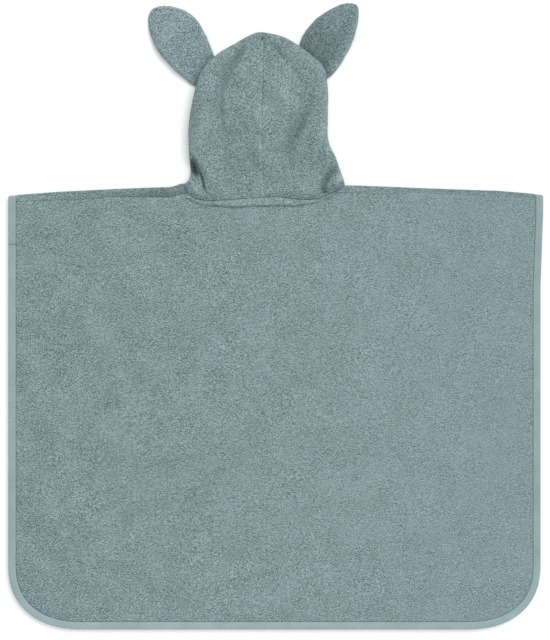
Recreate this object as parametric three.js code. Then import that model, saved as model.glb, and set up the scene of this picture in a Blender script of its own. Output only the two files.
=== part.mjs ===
// Hooded bath poncho of terry towelling with ears on its hood, laid flat with its back up.
// Millimetres, +Z up. X runs across the back and Y from the hem to the hood. It lies on Z = 0.
import * as THREE from 'three';

// Driving dimensions
const LEFT_SIDE = -351.9;
const RIGHT_SIDE = 348.4;
const RIGHT_FLARE = 3.5;
const FLARE_START_Y = 40;
const FLARE_END_Y = 135;
const HEM_Y = -412;
const CORNER_X = 98;
const CORNER_Y = 85;
const CORNER_POWER = 2.3;

const GAP = 0.3;
const CLOTH = 3.7;
const LAYER_STEP = CLOTH + GAP;
const FOLD_RADIUS = CLOTH + GAP / 2;
const FOLD_MIDDLE = FOLD_RADIUS - CLOTH / 2;
const HALF_TURN = FOLD_MIDDLE * Math.PI / 2;
const TOP_OF_BACK = CLOTH + LAYER_STEP;

const TAPE_COVER = 10;
const TAPE_WALL = 1;
const EDGE_CLOTH = 1.1;
const EDGE_INSET = TAPE_WALL + 3 * GAP;
const JOIN_Y = 94;

const SEAM_X = -16.8;
const HOOD_WALL = 3;
const FACE_GAP = 39;
const FOREHEAD_Y = 335;
const FOREHEAD_ROUND = 23;
const BAND_DEPTH = 10.5;
const BAND_RISE = 0.8;
const HOOD_HALF_WIDTH = 90;
const CREASE_FADE = 0.04;

const EAR_ROOT_CLOTH = 1.1;
const EAR_CLOTH = 2.3;
const EAR_EDGE_CLOTH = 1.2;
const EAR_RIM = 4;
const EAR_ROOT_SPREAD = 10;
const EAR_ROOT_BLEND = 0.5;
const EAR_DROOP = 0.5;

// How finely each stretch is divided
const SHOULDER_COLUMNS = 7;
const SHOULDER_CROWDING = 1.4;
const HOOD_COLUMNS = 10;
const UNDER_COLUMNS = 5;
const SIDE_ROWS = 6;
const CORNER_STEPS = 8;
const TURN_STEPS = 6;
const STRIP_STEPS = 1;
const TAPE_HEM_STEPS = 18;
const HOOD_ROWS = 24;
const HOOD_TURN_STEPS = 4;
const EAR_COLUMNS = 8;
const EAR_ROWS = [0, 0.04, 0.1, 0.2, 0.3, 0.42, 0.54, 0.66, 0.78, 0.87, 0.94, 0.98, 1];
const EAR_ROOT_SEARCH = 30;
const EAR_ROOT_SEARCH_STEP = 0.1;
const FOLD_TOP = 0.4;
const NECK_CLEARANCE = 1;
const SETTLE_TRIES = 8;
const ARC_DIVISIONS = 400;
const NECK_CURVE_STEPS = 600;
const OUTLINE_STEPS = 200;
const CREASE_STEPS = 12;

// How far the corners of a table are rounded off
const SHOULDER_ROUNDING = 3;
const HEIGHT_ROUNDING = 10;
const SEAM_ROUNDING = 10;
const ARCH_ROUNDING = 0.04;

const COLOURS = { cloth: 0x84999a, hood: 0x7e9394, ear: 0x839899, tape: 0x97abab };

// The body cloth under the tape is pressed thin, and full beyond it
const EDGE_RINGS = [
  { inset: EDGE_INSET, cloth: EDGE_CLOTH },
  { inset: TAPE_COVER + GAP, cloth: EDGE_CLOTH },
  { inset: TAPE_COVER + 3 * GAP, cloth: CLOTH },
];
const FULL_INSET = EDGE_RINGS[EDGE_RINGS.length - 1].inset;

// The tape's profile: heights are shares of half the thickness that each of its faces has
const TAPE_PROFILE = [
  { inset: TAPE_COVER, height: 1, innerInset: TAPE_COVER, innerHeight: 1 },
  { inset: 1.7, height: 1, innerInset: 1.7, innerHeight: 1 },
  { inset: 0.5, height: 0.65, innerInset: 1.2, innerHeight: 0.6 },
  { inset: 0, height: 0, innerInset: TAPE_WALL, innerHeight: 0 },
  { inset: 0.5, height: -0.65, innerInset: 1.2, innerHeight: -0.6 },
  { inset: 1.7, height: -1, innerInset: 1.7, innerHeight: -1 },
  { inset: TAPE_COVER, height: -1, innerInset: TAPE_COVER, innerHeight: -1 },
];

// The rows of the band beside the back neck: how far each lies below the seam, and how high it stands
const NECK_BAND = [
  { depth: 0, rise: 0 }, { depth: 2, rise: BAND_RISE }, { depth: BAND_DEPTH - 2, rise: BAND_RISE },
  { depth: BAND_DEPTH, rise: 0 },
];

// The fold over the top of each shoulder: its outermost line, from the side to the neck
const LEFT_FOLD = [
  { x: -351.9, y: 158.5 }, { x: -335, y: 160.2 }, { x: -283, y: 163.8 }, { x: -230, y: 166 },
  { x: -165, y: 168 }, { x: -138, y: 169 }, { x: -131, y: 171.6 }, { x: -121, y: 175 },
];
const RIGHT_FOLD = [
  { x: 351.9, y: 159.6 }, { x: 335, y: 161.5 }, { x: 295, y: 164.9 }, { x: 242, y: 166.7 },
  { x: 164, y: 169.6 }, { x: 112, y: 171.2 }, { x: 92, y: 171.6 },
];

// How far the shoulder seam lies below that fold, on the back
const LEFT_SEAM = [
  { x: -351.9, y: 9 }, { x: -263, y: 11.5 }, { x: -213, y: 9.4 }, { x: -160, y: 11.5 }, { x: -121, y: 13.5 },
];
const RIGHT_SEAM = [{ x: 66, y: 9 }, { x: 150, y: 9.6 }, { x: 185, y: 6.5 }, { x: 351.9, y: 6.5 }];

// The seam between hood and body: at the back, and hidden at the front
const BACK_NECK = [
  { x: -122, y: 174.2 }, { x: -117.5, y: 166 }, { x: -108.5, y: 156.4 }, { x: -95, y: 152.6 },
  { x: -70, y: 152.8 }, { x: SEAM_X, y: 156.4 }, { x: 6, y: 157 }, { x: 28, y: 154 }, { x: 54, y: 154.6 },
  { x: 70, y: 161 }, { x: 82, y: 166.6 }, { x: 91.6, y: 170.8 },
];
const FRONT_NECK = [
  { x: -122, y: 174.2 }, { x: -112, y: 158 }, { x: -84, y: 124 }, { x: -50, y: 108.5 },
  { x: SEAM_X, y: 104 }, { x: 16, y: 108.5 }, { x: 52, y: 124 }, { x: 78, y: 153 }, { x: 91.6, y: 170.8 },
];

// The hood's outline as it lies, from each shoulder to the crown
const HOOD_LEFT = [
  { x: -122, y: 174.2 }, { x: -115, y: 178 }, { x: -112.3, y: 188 }, { x: -114.4, y: 218 },
  { x: -114, y: 252 }, { x: -107, y: 293 }, { x: -97, y: 322 }, { x: -77, y: 343.4 }, { x: -51, y: 359.4 },
  { x: -37, y: 367.2 }, { x: -26, y: 372 }, { x: SEAM_X, y: 372.8 },
];
const HOOD_RIGHT = [
  { x: 91.6, y: 170.8 }, { x: 87.3, y: 185 }, { x: 79, y: 208 }, { x: 69, y: 231 }, { x: 68.4, y: 262 },
  { x: 68.4, y: 298 }, { x: 62, y: 328 }, { x: 41, y: 346.4 }, { x: 23, y: 359.8 }, { x: 7, y: 367.6 },
  { x: SEAM_X, y: 372.8 },
];

// How far the hood's middle seam wanders to the side at each height up the back
const SEAM_WANDER = [
  { y: 150, x: 0 }, { y: 166.5, x: 0 }, { y: 215, x: -3.3 }, { y: 273, x: -2 }, { y: 345, x: 0 },
  { y: 375, x: 0 },
];

// The hood's height, and its creases: each runs from a past b to c, and a rise under 0 is a trough
const HOOD_HEIGHT = [
  { y: 150, middle: 15, side: 11 }, { y: 190, middle: 25, side: 19 }, { y: 240, middle: 29, side: 23 },
  { y: 300, middle: 29, side: 23 }, { y: 340, middle: 25, side: 20 }, { y: 375, middle: 20, side: 18 },
];
const NECK_SLOPE = 30;
const CREASES = [
  { ax: -6, ay: 358, bx: 28, by: 332, cx: 34, cy: 292, rise: -4, width: 9 },
  { ax: 40, ay: 296, bx: 38, by: 245, cx: 8, cy: 210, rise: -9, width: 9 },
  { ax: -46, ay: 349, bx: -76, by: 310, cx: -69, cy: 262, rise: -4, width: 9 },
  { ax: -23, ay: 320, bx: -56, by: 262, cx: -28, cy: 192, rise: -3.5, width: 7 },
  { ax: -15, ay: 270, bx: -14, by: 254, cx: -14, cy: 238, rise: 3, width: 12 },
  { ax: -108, ay: 208, bx: -100, by: 190, cx: -93, cy: 176, rise: -7, width: 8 },
  { ax: 80, ay: 196, bx: 60, by: 178, cx: 64, cy: 168, rise: -6, width: 8 },
];

// How wide the hood's rolled side is, from the shoulder (0) to the crown (1)
const SIDE_ROLL = [
  { x: 0, y: FOLD_RADIUS }, { x: 0.12, y: 9 }, { x: 0.25, y: 13 }, { x: 0.8, y: 13 }, { x: 1, y: 12 },
];

// Each ear: the middle of its root, its direction and length, how far the root is tucked under the hood,
// its half widths, and how high it arches
const EARS = {
  left: {
    rootX: -92.1, rootY: 323.2, angle: 131.1, length: 108, tuck: 3.9,
    widths: [
      { along: 0, left: 22.5, right: 18.5 }, { along: 0.1, left: 26.2, right: 22.9 },
      { along: 0.3, left: 31, right: 30.1 }, { along: 0.5, left: 31.5, right: 34.7 },
      { along: 0.6, left: 30.2, right: 34.7 }, { along: 0.7, left: 27.1, right: 32.4 },
      { along: 0.8, left: 22.6, right: 26.9 }, { along: 0.88, left: 17.5, right: 20.9 },
      { along: 0.94, left: 12.2, right: 14.4 }, { along: 0.98, left: 7, right: 7.8 },
      { along: 1, left: 0, right: 0 },
    ],
    arch: [
      { x: 0, y: 0 }, { x: 0.05, y: 0 }, { x: 0.3, y: 6 }, { x: 0.55, y: 6.5 }, { x: 0.95, y: 0 },
      { x: 1, y: 0 },
    ],
  },
  right: {
    rootX: 49.4, rootY: 333.4, angle: 53.6, length: 95.9, tuck: 3.1,
    widths: [
      { along: 0, left: 27, right: 25 }, { along: 0.1, left: 30.3, right: 29 },
      { along: 0.2, left: 32.6, right: 30.2 }, { along: 0.3, left: 33, right: 29.4 },
      { along: 0.5, left: 31.4, right: 26.5 }, { along: 0.6, left: 28.4, right: 24 },
      { along: 0.7, left: 24.8, right: 20.2 }, { along: 0.8, left: 20.4, right: 16.2 },
      { along: 0.88, left: 16.2, right: 11.9 }, { along: 0.94, left: 10.8, right: 8.2 },
      { along: 0.98, left: 5.6, right: 4.8 }, { along: 1, left: 0, right: 0 },
    ],
    arch: [
      { x: 0, y: 0 }, { x: 0.07, y: 0 }, { x: 0.5, y: 11 }, { x: 0.65, y: 11 }, { x: 0.95, y: 0 },
      { x: 1, y: 0 },
    ],
  },
};

const clamp = THREE.MathUtils.clamp;
const lerp = THREE.MathUtils.lerp;
const smooth = (value, low, high) => THREE.MathUtils.smoothstep(value, low, high);
const mix = (a, b, f) => new THREE.Vector3().lerpVectors(a, b, f);
const point = (x, y, z = 0) => new THREE.Vector3(x, y, z);

// A value read between the rows of a table, by the column named key
function read(table, value, column = 'y', key = 'x') {
  const rows = table[0][key] < table[table.length - 1][key] ? table : [...table].reverse();
  const v = clamp(value, rows[0][key], rows[rows.length - 1][key]);
  let i = 1;
  while (i < rows.length - 1 && rows[i][key] < v) i += 1;
  const f = (v - rows[i - 1][key]) / (rows[i][key] - rows[i - 1][key]);
  return lerp(rows[i - 1][column], rows[i][column], f);
}

// The same, with the corners at the rows rounded over the reach given
function readSmooth(table, value, reach, key = 'x', column = 'y') {
  let sum = 0;
  const shifts = [-1, -0.5, 0, 0.5, 1];
  for (const shift of shifts) sum += read(table, value + shift * reach, column, key);
  return sum / shifts.length;
}

// A smooth curve through the rows of a table
function curve(table) {
  const path = new THREE.CatmullRomCurve3(table.map((row) => point(row.x, row.y)), false, 'centripetal');
  path.arcLengthDivisions = ARC_DIVISIONS;
  return path;
}

// Points at even steps of length along any line of points
function spaced(points, steps) {
  const lengths = [0];
  for (let i = 1; i < points.length; i += 1) {
    lengths.push(lengths[i - 1] + points[i].distanceTo(points[i - 1]));
  }
  const whole = lengths[lengths.length - 1];
  return Array.from({ length: steps + 1 }, (_, k) => {
    const target = whole * k / steps;
    let i = 1;
    while (i < points.length - 1 && lengths[i] < target) i += 1;
    return mix(points[i - 1], points[i], (target - lengths[i - 1]) / (lengths[i] - lengths[i - 1]));
  });
}

// The level direction to the left of a line of points
function sideways(points, i) {
  const along = point(0, 0);
  if (i > 0) along.add(points[i].clone().sub(points[i - 1]).normalize());
  if (i < points.length - 1) along.add(points[i + 1].clone().sub(points[i]).normalize());
  along.normalize();
  return point(-along.y, along.x);
}

function nearestOnLine(points, x, y) {
  let best = { distance: Infinity, share: 0 };
  for (let i = 1; i < points.length; i += 1) {
    const [a, b] = [points[i - 1], points[i]];
    const [dx, dy] = [b.x - a.x, b.y - a.y];
    const f = clamp(((x - a.x) * dx + (y - a.y) * dy) / (dx * dx + dy * dy), 0, 1);
    const [awayX, awayY] = [x - a.x - dx * f, y - a.y - dy * f];
    const distance = Math.hypot(awayX, awayY);
    if (distance < best.distance) {
      best = { distance, share: (i - 1 + f) / (points.length - 1), left: dx * awayY - dy * awayX };
    }
  }
  return best;
}

// A piece of cloth: points on its outer face, the matching ones on its inner face, and a rim at its edges
class Cloth {
  constructor() {
    this.outer = [];
    this.inner = [];
    this.faces = [];
    this.places = new Map();
  }

  corner(outer, inner) {
    const key = [outer, inner].map((p) => p.toArray().map((v) => Math.round(v * 500)).join()).join();
    if (!this.places.has(key)) {
      this.places.set(key, this.outer.length);
      this.outer.push(outer);
      this.inner.push(inner);
    }
    return this.places.get(key);
  }

  // at(i, j) gives the outer and the inner point of row i, column j
  patch(rows, columns, at) {
    const grid = [];
    for (let i = 0; i <= rows; i += 1) {
      grid.push([]);
      for (let j = 0; j <= columns; j += 1) grid[i].push(this.corner(...at(i, j)));
    }
    for (let i = 0; i < rows; i += 1) {
      for (let j = 0; j < columns; j += 1) {
        const [a, b, c, d] = [grid[i][j], grid[i][j + 1], grid[i + 1][j + 1], grid[i + 1][j]];
        for (const face of [[a, b, c], [a, c, d]]) {
          if (new Set(face).size === 3) this.faces.push(face);
        }
      }
    }
  }

  geometry() {
    const count = this.outer.length;
    const edges = new Set(this.faces.flatMap(([a, b, c]) => [`${a},${b}`, `${b},${c}`, `${c},${a}`]));
    const triangles = [];
    for (const [a, b, c] of this.faces) {
      triangles.push([a, b, c], [a + count, c + count, b + count]);
      for (const [from, to] of [[a, b], [b, c], [c, a]]) {
        const open = !edges.has(`${to},${from}`);
        if (open) triangles.push([to, from, from + count], [to, from + count, to + count]);
      }
    }
    const points = [...this.outer, ...this.inner];
    const outward = triangles.reduce((sum, [a, b, c]) => (
      sum + points[a].dot(points[b].clone().cross(points[c]))), 0) > 0;
    const geometry = new THREE.BufferGeometry();
    const places = points.flatMap((p) => p.toArray());
    geometry.setAttribute('position', new THREE.Float32BufferAttribute(places, 3));
    geometry.setIndex(triangles.flatMap(([a, b, c]) => (outward ? [a, b, c] : [a, c, b])));
    geometry.computeVertexNormals();
    return geometry;
  }
}

// The two faces of a level layer of cloth, with its middle at height z and its outer face up or down
const level = (p, z, cloth, up) => [point(p.x, p.y, z + up * cloth / 2), point(p.x, p.y, z - up * cloth / 2)];

// A point stretched between the four edges of a patch, each a list of points
function between(bottom, top, left, right, i, j) {
  const u = j / (bottom.length - 1);
  const v = i / (left.length - 1);
  const across = mix(bottom[j], top[j], v).add(mix(left[i], right[i], u));
  const low = mix(bottom[0], bottom[bottom.length - 1], u);
  const high = mix(top[0], top[top.length - 1], u);
  return across.sub(mix(low, high, v));
}

// The body's bound edge
const rightFlare = (y) => RIGHT_FLARE * clamp((y - FLARE_START_Y) / (FLARE_END_Y - FLARE_START_Y), 0, 1);
const sideX = (side, y) => (side < 0 ? LEFT_SIDE : RIGHT_SIDE + rightFlare(y));

function hemCorner(side, step) {
  const angle = step / CORNER_STEPS * Math.PI / 2;
  const reachX = CORNER_X * (1 - Math.max(Math.cos(angle), 0) ** (2 / CORNER_POWER));
  const reachY = CORNER_Y * Math.sin(angle) ** (2 / CORNER_POWER);
  return point(sideX(side, HEM_Y) - side * reachX, HEM_Y + CORNER_Y - reachY);
}

// Down one side, from the heights given in tops
function sidePoints(side, tops) {
  const rows = [...tops];
  for (let i = 0; i < SIDE_ROWS; i += 1) {
    rows.push(lerp(FLARE_START_Y, HEM_Y + CORNER_Y, i / (SIDE_ROWS - 1)));
  }
  const points = rows.map((y) => point(sideX(side, y), y));
  for (let step = 1; step <= CORNER_STEPS; step += 1) points.push(hemCorner(side, step));
  return points;
}

// Down the left side, along the hem and up the right side, with the direction into the cloth at each point
function boundEdge(leftTops, rightTops, hemColumns) {
  const left = sidePoints(-1, leftTops);
  const right = sidePoints(1, rightTops).reverse();
  const hem = spaced([left[left.length - 1], right[0]], hemColumns - CORNER_STEPS).slice(1, -1);
  const line = [...left, ...hem, ...right];
  return line.map((at, i) => {
    const upright = at.y > FLARE_START_Y - 1;
    return { at, inward: upright ? point(-Math.sign(at.x), 0) : sideways(line, i) };
  });
}

// Cloth that goes over the fold of a shoulder. Reach is measured along its middle from the top of the
// fold, over 0 on the back and under 0 on the front, and height is measured outward from that middle.
function onFold(x, foldY, reach, height) {
  const angle = clamp(reach / FOLD_MIDDLE, -Math.PI / 2, Math.PI / 2);
  const radius = FOLD_MIDDLE + height;
  const straight = Math.max(Math.abs(reach) - HALF_TURN, 0);
  const y = foldY - FOLD_RADIUS + radius * Math.cos(angle) - straight;
  return point(x, y, FOLD_RADIUS + radius * Math.sin(angle));
}

const foldY = (side, x) => readSmooth(side < 0 ? LEFT_FOLD : RIGHT_FOLD, x, SHOULDER_ROUNDING);
const seamDrop = (side, x) => readSmooth(side < 0 ? LEFT_SEAM : RIGHT_SEAM, x, SHOULDER_ROUNDING);
const seamY = (side, x) => foldY(side, x) - seamDrop(side, x);

// How far over the fold each row of the shoulder's strip lies: round the turn, then down to the seam
function stripReach(side, x, row) {
  if (row <= TURN_STEPS) return HALF_TURN * (2 * row / TURN_STEPS - 1);
  const end = seamDrop(side, x) - GAP / 2 - FOLD_RADIUS + HALF_TURN;
  return lerp(HALF_TURN, end, (row - TURN_STEPS) / STRIP_STEPS);
}
const STRIP_ROWS = TURN_STEPS + STRIP_STEPS;

// A neck seam from one shoulder: its first stretch goes over the fold, and the rest has even steps
function neckHalf(table, side, endX, steps) {
  const whole = curve(table).getSpacedPoints(NECK_CURVE_STEPS);
  if (side > 0) whole.reverse();
  const half = whole.filter((p) => (endX - p.x) * side < 0);
  const rolled = half.findIndex((p) => p.distanceTo(half[0]) >= FOLD_RADIUS);
  const rest = spaced([...half.slice(rolled), point(endX, read(whole, endX))], steps);
  return [half[0], ...rest];
}

const SIDES = [-1, 1];
const faceX = (side) => SEAM_X + side * FACE_GAP / 2;
const BACK_NECK_HALF = {};
const FRONT_NECK_HALF = {};
for (const side of SIDES) {
  BACK_NECK_HALF[side] = neckHalf(BACK_NECK, side, SEAM_X + side * GAP / 2, HOOD_COLUMNS);
  FRONT_NECK_HALF[side] = neckHalf(FRONT_NECK, side, faceX(side), UNDER_COLUMNS);
}
const wholeNeck = (halves) => [...halves[-1], ...[...halves[1]].reverse()];

// The body's side of a neck seam, which is the seam's line moved away from the hood
function bodySide(line) {
  return line.map((p, i) => p.clone().addScaledVector(sideways(line, i), -GAP));
}
const BODY_NECK_BACK = bodySide(wholeNeck(BACK_NECK_HALF));
const BODY_NECK_FRONT = bodySide(wholeNeck(FRONT_NECK_HALF));

// Where the body's neck edge crosses the height y, on one side of the neck
function crossing(line, side, y) {
  const down = side < 0 ? line : [...line].reverse();
  let i = 1;
  while (i < down.length - 1 && down[i].y > y) i += 1;
  const f = (down[i - 1].y - y) / (down[i - 1].y - down[i].y);
  return lerp(down[i - 1].x, down[i].x, f);
}

// Where the strip over a shoulder ends beside the hood
function stripEnd(side, row) {
  const line = row > TURN_STEPS / 2 ? BODY_NECK_BACK : BODY_NECK_FRONT;
  let x = line[side < 0 ? 0 : line.length - 1].x;
  for (let tries = 0; tries < SETTLE_TRIES; tries += 1) {
    const y = onFold(x, foldY(side, x), stripReach(side, x, row), CLOTH / 2).y;
    x = crossing(line, side, Math.min(y, foldY(side, x) - FOLD_TOP)) + side * GAP;
  }
  return x;
}

// The columns of one row of the strip, from the bound edge to the neck: where each lies, and its cloth
function stripColumns(side, row) {
  const edgeX = sideX(side, FLARE_END_Y);
  const start = edgeX - side * FULL_INSET;
  const end = stripEnd(side, row);
  const columns = EDGE_RINGS.slice(0, -1).map(({ inset, cloth }) => ({ x: edgeX - side * inset, cloth }));
  for (let j = 0; j <= SHOULDER_COLUMNS; j += 1) {
    const share = 1 - (1 - j / SHOULDER_COLUMNS) ** SHOULDER_CROWDING;
    columns.push({ x: lerp(start, end, share), cloth: CLOTH });
  }
  return columns;
}

// The line at the top of a panel's full cloth: along one shoulder, round the neck and along the other
function panelTop(row, neckLine, heightAt) {
  const shoulder = (side) => {
    const columns = stripColumns(side, row).slice(EDGE_RINGS.length - 1);
    return columns.map(({ x }) => point(x, heightAt(side, x)));
  };
  const left = shoulder(-1);
  const right = shoulder(1).reverse();
  const [from, to] = [left[left.length - 1], right[0]];
  const neck = neckLine.filter(({ x, y }) => {
    const beside = x > from.x + NECK_CLEARANCE && x < to.x - NECK_CLEARANCE;
    return beside && y < Math.min(from.y, to.y) + NECK_CLEARANCE;
  });
  return [...left, ...neck, ...right];
}

// A body panel below the line at its top: head gives the depth and the rise of each row beside that line
function panel(cloth, top, heightAt, z, up, head) {
  const columns = top.length - 1;
  const tops = (side, x) => head.map(({ depth }) => heightAt(side, x) - depth);
  const edge = boundEdge(tops(-1, top[0].x), tops(1, top[columns].x), columns);
  const last = edge.length - 1;
  const ringPoint = (i, inset) => {
    const p = edge[i].at.clone().addScaledVector(edge[i].inward, inset);
    const row = Math.min(i, last - i);
    if (row < head.length) p.y = heightAt(Math.sign(p.x), p.x) - head[row].depth;
    return p;
  };
  const headRows = head.length - 1;
  const neckFrom = top[SHOULDER_COLUMNS].x;
  const neckTo = top[columns - SHOULDER_COLUMNS].x;
  const onNeck = (x) => (
    smooth(x, neckFrom - BAND_DEPTH, neckFrom) * (1 - smooth(x, neckTo, neckTo + BAND_DEPTH)));
  const headPoint = (i, j) => point(top[j].x, top[j].y - head[i].depth);
  cloth.patch(headRows, columns, (i, j) => {
    const p = headPoint(headRows - i, j);
    const [outer, inner] = level(p, z, CLOTH, up);
    outer.z += up * head[headRows - i].rise * onNeck(p.x);
    return [outer, inner];
  });
  const rows = (last - columns) / 2 - headRows;
  const ring = edge.map((_, i) => ringPoint(i, FULL_INSET));
  const left = ring.slice(headRows, headRows + rows + 1).reverse();
  const bottom = ring.slice(headRows + rows, headRows + rows + columns + 1);
  const right = ring.slice(headRows + rows + columns, last - headRows + 1);
  const high = top.map((_, j) => headPoint(headRows, j));
  cloth.patch(rows, columns, (i, j) => level(between(bottom, high, left, right, i, j), z, CLOTH, up));
  const rings = [...EDGE_RINGS].reverse();
  cloth.patch(last, rings.length - 1, (i, j) => level(ringPoint(i, rings[j].inset), z, rings[j].cloth, up));
}

function backPanel() {
  const cloth = new Cloth();
  const heightAt = (side, x) => seamY(side, x) - GAP / 2;
  const top = panelTop(STRIP_ROWS, BODY_NECK_BACK, heightAt);
  panel(cloth, top, heightAt, CLOTH / 2 + LAYER_STEP, 1, NECK_BAND);
  return cloth.geometry();
}

function frontPanel() {
  const cloth = new Cloth();
  const heightAt = (side, x) => foldY(side, x) - FOLD_RADIUS;
  const top = panelTop(0, BODY_NECK_FRONT, heightAt);
  panel(cloth, top, heightAt, CLOTH / 2, -1, [{ depth: 0, rise: 0 }]);
  for (const side of SIDES) {
    cloth.patch(STRIP_ROWS, SHOULDER_COLUMNS + EDGE_RINGS.length - 1, (i, j) => {
      const columns = stripColumns(side, i);
      const column = columns[side < 0 ? j : columns.length - 1 - j];
      const reach = stripReach(side, column.x, i);
      return [1, -1].map((face) => onFold(column.x, foldY(side, column.x), reach, face * column.cloth / 2));
    });
  }
  return cloth.geometry();
}

// The folded tape over the body's edge: its outer and inner profile, by distance in from the edge and
// by height from the middle of the cloth that it covers
function edgeBinding() {
  const half = CLOTH / 2;
  const profile = TAPE_PROFILE.map(({ inset, height, innerInset, innerHeight }) => [
    { inset, height: height * half },
    { inset: innerInset, height: innerHeight * (half - TAPE_WALL) },
  ]);
  const onEdge = ({ at, inward }, up) => ({ inset, height }) => {
    const p = at.clone().addScaledVector(inward, inset);
    p.z = (up > 0 ? LAYER_STEP : 0) + half + up * height;
    return p;
  };
  const overFold = (side, row) => ({ inset, height }) => {
    const x = sideX(side, FLARE_END_Y) - side * inset;
    return onFold(x, foldY(side, x), stripReach(side, x, row), height);
  };
  const foldStart = (side) => foldY(side, sideX(side, FLARE_END_Y)) - FOLD_RADIUS - 2 * GAP;
  const stations = [];
  for (const station of boundEdge([JOIN_Y], [foldStart(1)], TAPE_HEM_STEPS)) {
    stations.push(onEdge(station, 1));
  }
  for (let row = TURN_STEPS; row >= 0; row -= 1) stations.push(overFold(1, row));
  for (const station of boundEdge([foldStart(-1)], [foldStart(1)], TAPE_HEM_STEPS).reverse()) {
    stations.push(onEdge(station, -1));
  }
  for (let row = 0; row <= TURN_STEPS; row += 1) stations.push(overFold(-1, row));
  const end = { at: point(LEFT_SIDE, JOIN_Y + GAP), inward: point(1, 0) };
  stations.push(onEdge(end, 1));
  const cloth = new Cloth();
  cloth.patch(stations.length - 1, profile.length - 1, (i, j) => profile[j].map(stations[i]));
  return cloth.geometry();
}

// The hood's outer height above the surface it lies on, before its sides are rolled under
const NECK_LINE = wholeNeck(BACK_NECK_HALF);
const CREASE_LINES = CREASES.map(({ ax, ay, bx, by, cx, cy }) => (
  new THREE.QuadraticBezierCurve3(point(ax, ay), point(bx, by), point(cx, cy)).getPoints(CREASE_STEPS)));

function hoodHeight(x, y) {
  const near = nearestOnLine(NECK_LINE, x, y);
  const open = smooth(near.distance, 0, NECK_SLOPE);
  const middle = readSmooth(HOOD_HEIGHT, y, HEIGHT_ROUNDING, 'y', 'middle');
  const side = readSmooth(HOOD_HEIGHT, y, HEIGHT_ROUNDING, 'y', 'side');
  let height = lerp(middle, side, smooth(Math.abs(x - SEAM_X), 0, HOOD_HALF_WIDTH));
  CREASES.forEach(({ rise, width }, i) => {
    const line = nearestOnLine(CREASE_LINES[i], x, y);
    const fade = Math.sin(Math.PI * clamp(line.share, CREASE_FADE, 1 - CREASE_FADE)) ** 0.5;
    height += rise * Math.exp(-((line.distance / width) ** 2)) * fade;
  });
  return lerp(TOP_OF_BACK, Math.max(height, TOP_OF_BACK), open);
}

// One half of the hood: out from the seam in its middle, round the rolled side and in to the face edge
function hoodOutline(side) {
  const points = curve(side < 0 ? HOOD_LEFT : HOOD_RIGHT).getSpacedPoints(HOOD_ROWS);
  return points.map((at, i) => {
    const share = i / HOOD_ROWS;
    const inward = sideways(points, i).multiplyScalar(side);
    if (i === HOOD_ROWS) inward.set(0, -1, 0);
    return { at, inward, share, roll: read(SIDE_ROLL, share) };
  });
}

function hoodHalf(side) {
  const outline = hoodOutline(side);
  const neck = BACK_NECK_HALF[side];
  const under = FRONT_NECK_HALF[side];
  const first = outline[0];
  const crown = outline[HOOD_ROWS];
  crown.at.x = SEAM_X + side * GAP / 2;
  const directions = [neck, under].map((line) => line[1].clone().sub(line[0]).normalize());
  const rows = outline.map((row, i) => {
    const [rollBack, rollUnder] = directions.map((direction) => {
      const inward = i === 0 ? direction : row.inward;
      return row.at.clone().addScaledVector(inward, i === 0 ? FOLD_RADIUS : row.roll);
    });
    const progress = (row.at.y - first.at.y) / (crown.at.y - first.at.y);
    const faceY = lerp(under[under.length - 1].y, FOREHEAD_Y, progress);
    const round = clamp((faceY - FOREHEAD_Y + FOREHEAD_ROUND) / FOREHEAD_ROUND, 0, 1);
    const seamAt = lerp(neck[neck.length - 1].y, crown.at.y - crown.roll, progress);
    const seam = point(crown.at.x + readSmooth(SEAM_WANDER, seamAt, SEAM_ROUNDING, 'y', 'x'), seamAt);
    const face = point(crown.at.x + side * (FACE_GAP - GAP) / 2 * Math.sqrt(1 - round * round), faceY);
    return { ...row, rollBack, rollUnder, seam, face };
  });
  const column = (key) => rows.map((row) => row[key]);
  const [seams, rollsBack, rollsUnder, faces] = ['seam', 'rollBack', 'rollUnder', 'face'].map(column);
  const neckRow = neck.slice(1).reverse();
  const crownBack = neckRow.map(() => rollsBack[HOOD_ROWS]);
  const underRow = under.slice(1);
  const crownUnder = spaced([rollsUnder[HOOD_ROWS], faces[HOOD_ROWS]], UNDER_COLUMNS);
  const outer = (i, j) => {
    const row = rows[i];
    const halfHeight = hoodHeight(row.rollBack.x, row.rollBack.y) / 2;
    const turn = j - HOOD_COLUMNS;
    if (turn <= 0) {
      const p = between(neckRow, crownBack, seams, rollsBack, i, j);
      p.z = hoodHeight(p.x, p.y);
      return p;
    }
    if (turn <= HOOD_TURN_STEPS) {
      const angle = turn / HOOD_TURN_STEPS * Math.PI / 2;
      const p = mix(row.rollBack, row.at, Math.sin(angle));
      p.z = halfHeight + (hoodHeight(p.x, p.y) - halfHeight) * Math.cos(angle);
      return p;
    }
    if (turn <= 2 * HOOD_TURN_STEPS) {
      const angle = (turn / HOOD_TURN_STEPS - 1) * Math.PI / 2;
      const p = mix(row.at, row.rollUnder, 1 - Math.cos(angle));
      p.z = halfHeight * (1 - Math.sin(angle));
      return p;
    }
    return between(underRow, crownUnder, rollsUnder, faces, i, turn - 2 * HOOD_TURN_STEPS);
  };
  const columns = HOOD_COLUMNS + 2 * HOOD_TURN_STEPS + UNDER_COLUMNS;
  const grid = rows.map((_, i) => Array.from({ length: columns + 1 }, (__, j) => outer(i, j)));
  const cloth = new Cloth();
  cloth.patch(HOOD_ROWS, columns, (i, j) => [grid[i][j], grid[i][j]]);
  lineWithCloth(cloth, grid, side, directions);
  return cloth.geometry();
}

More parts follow.
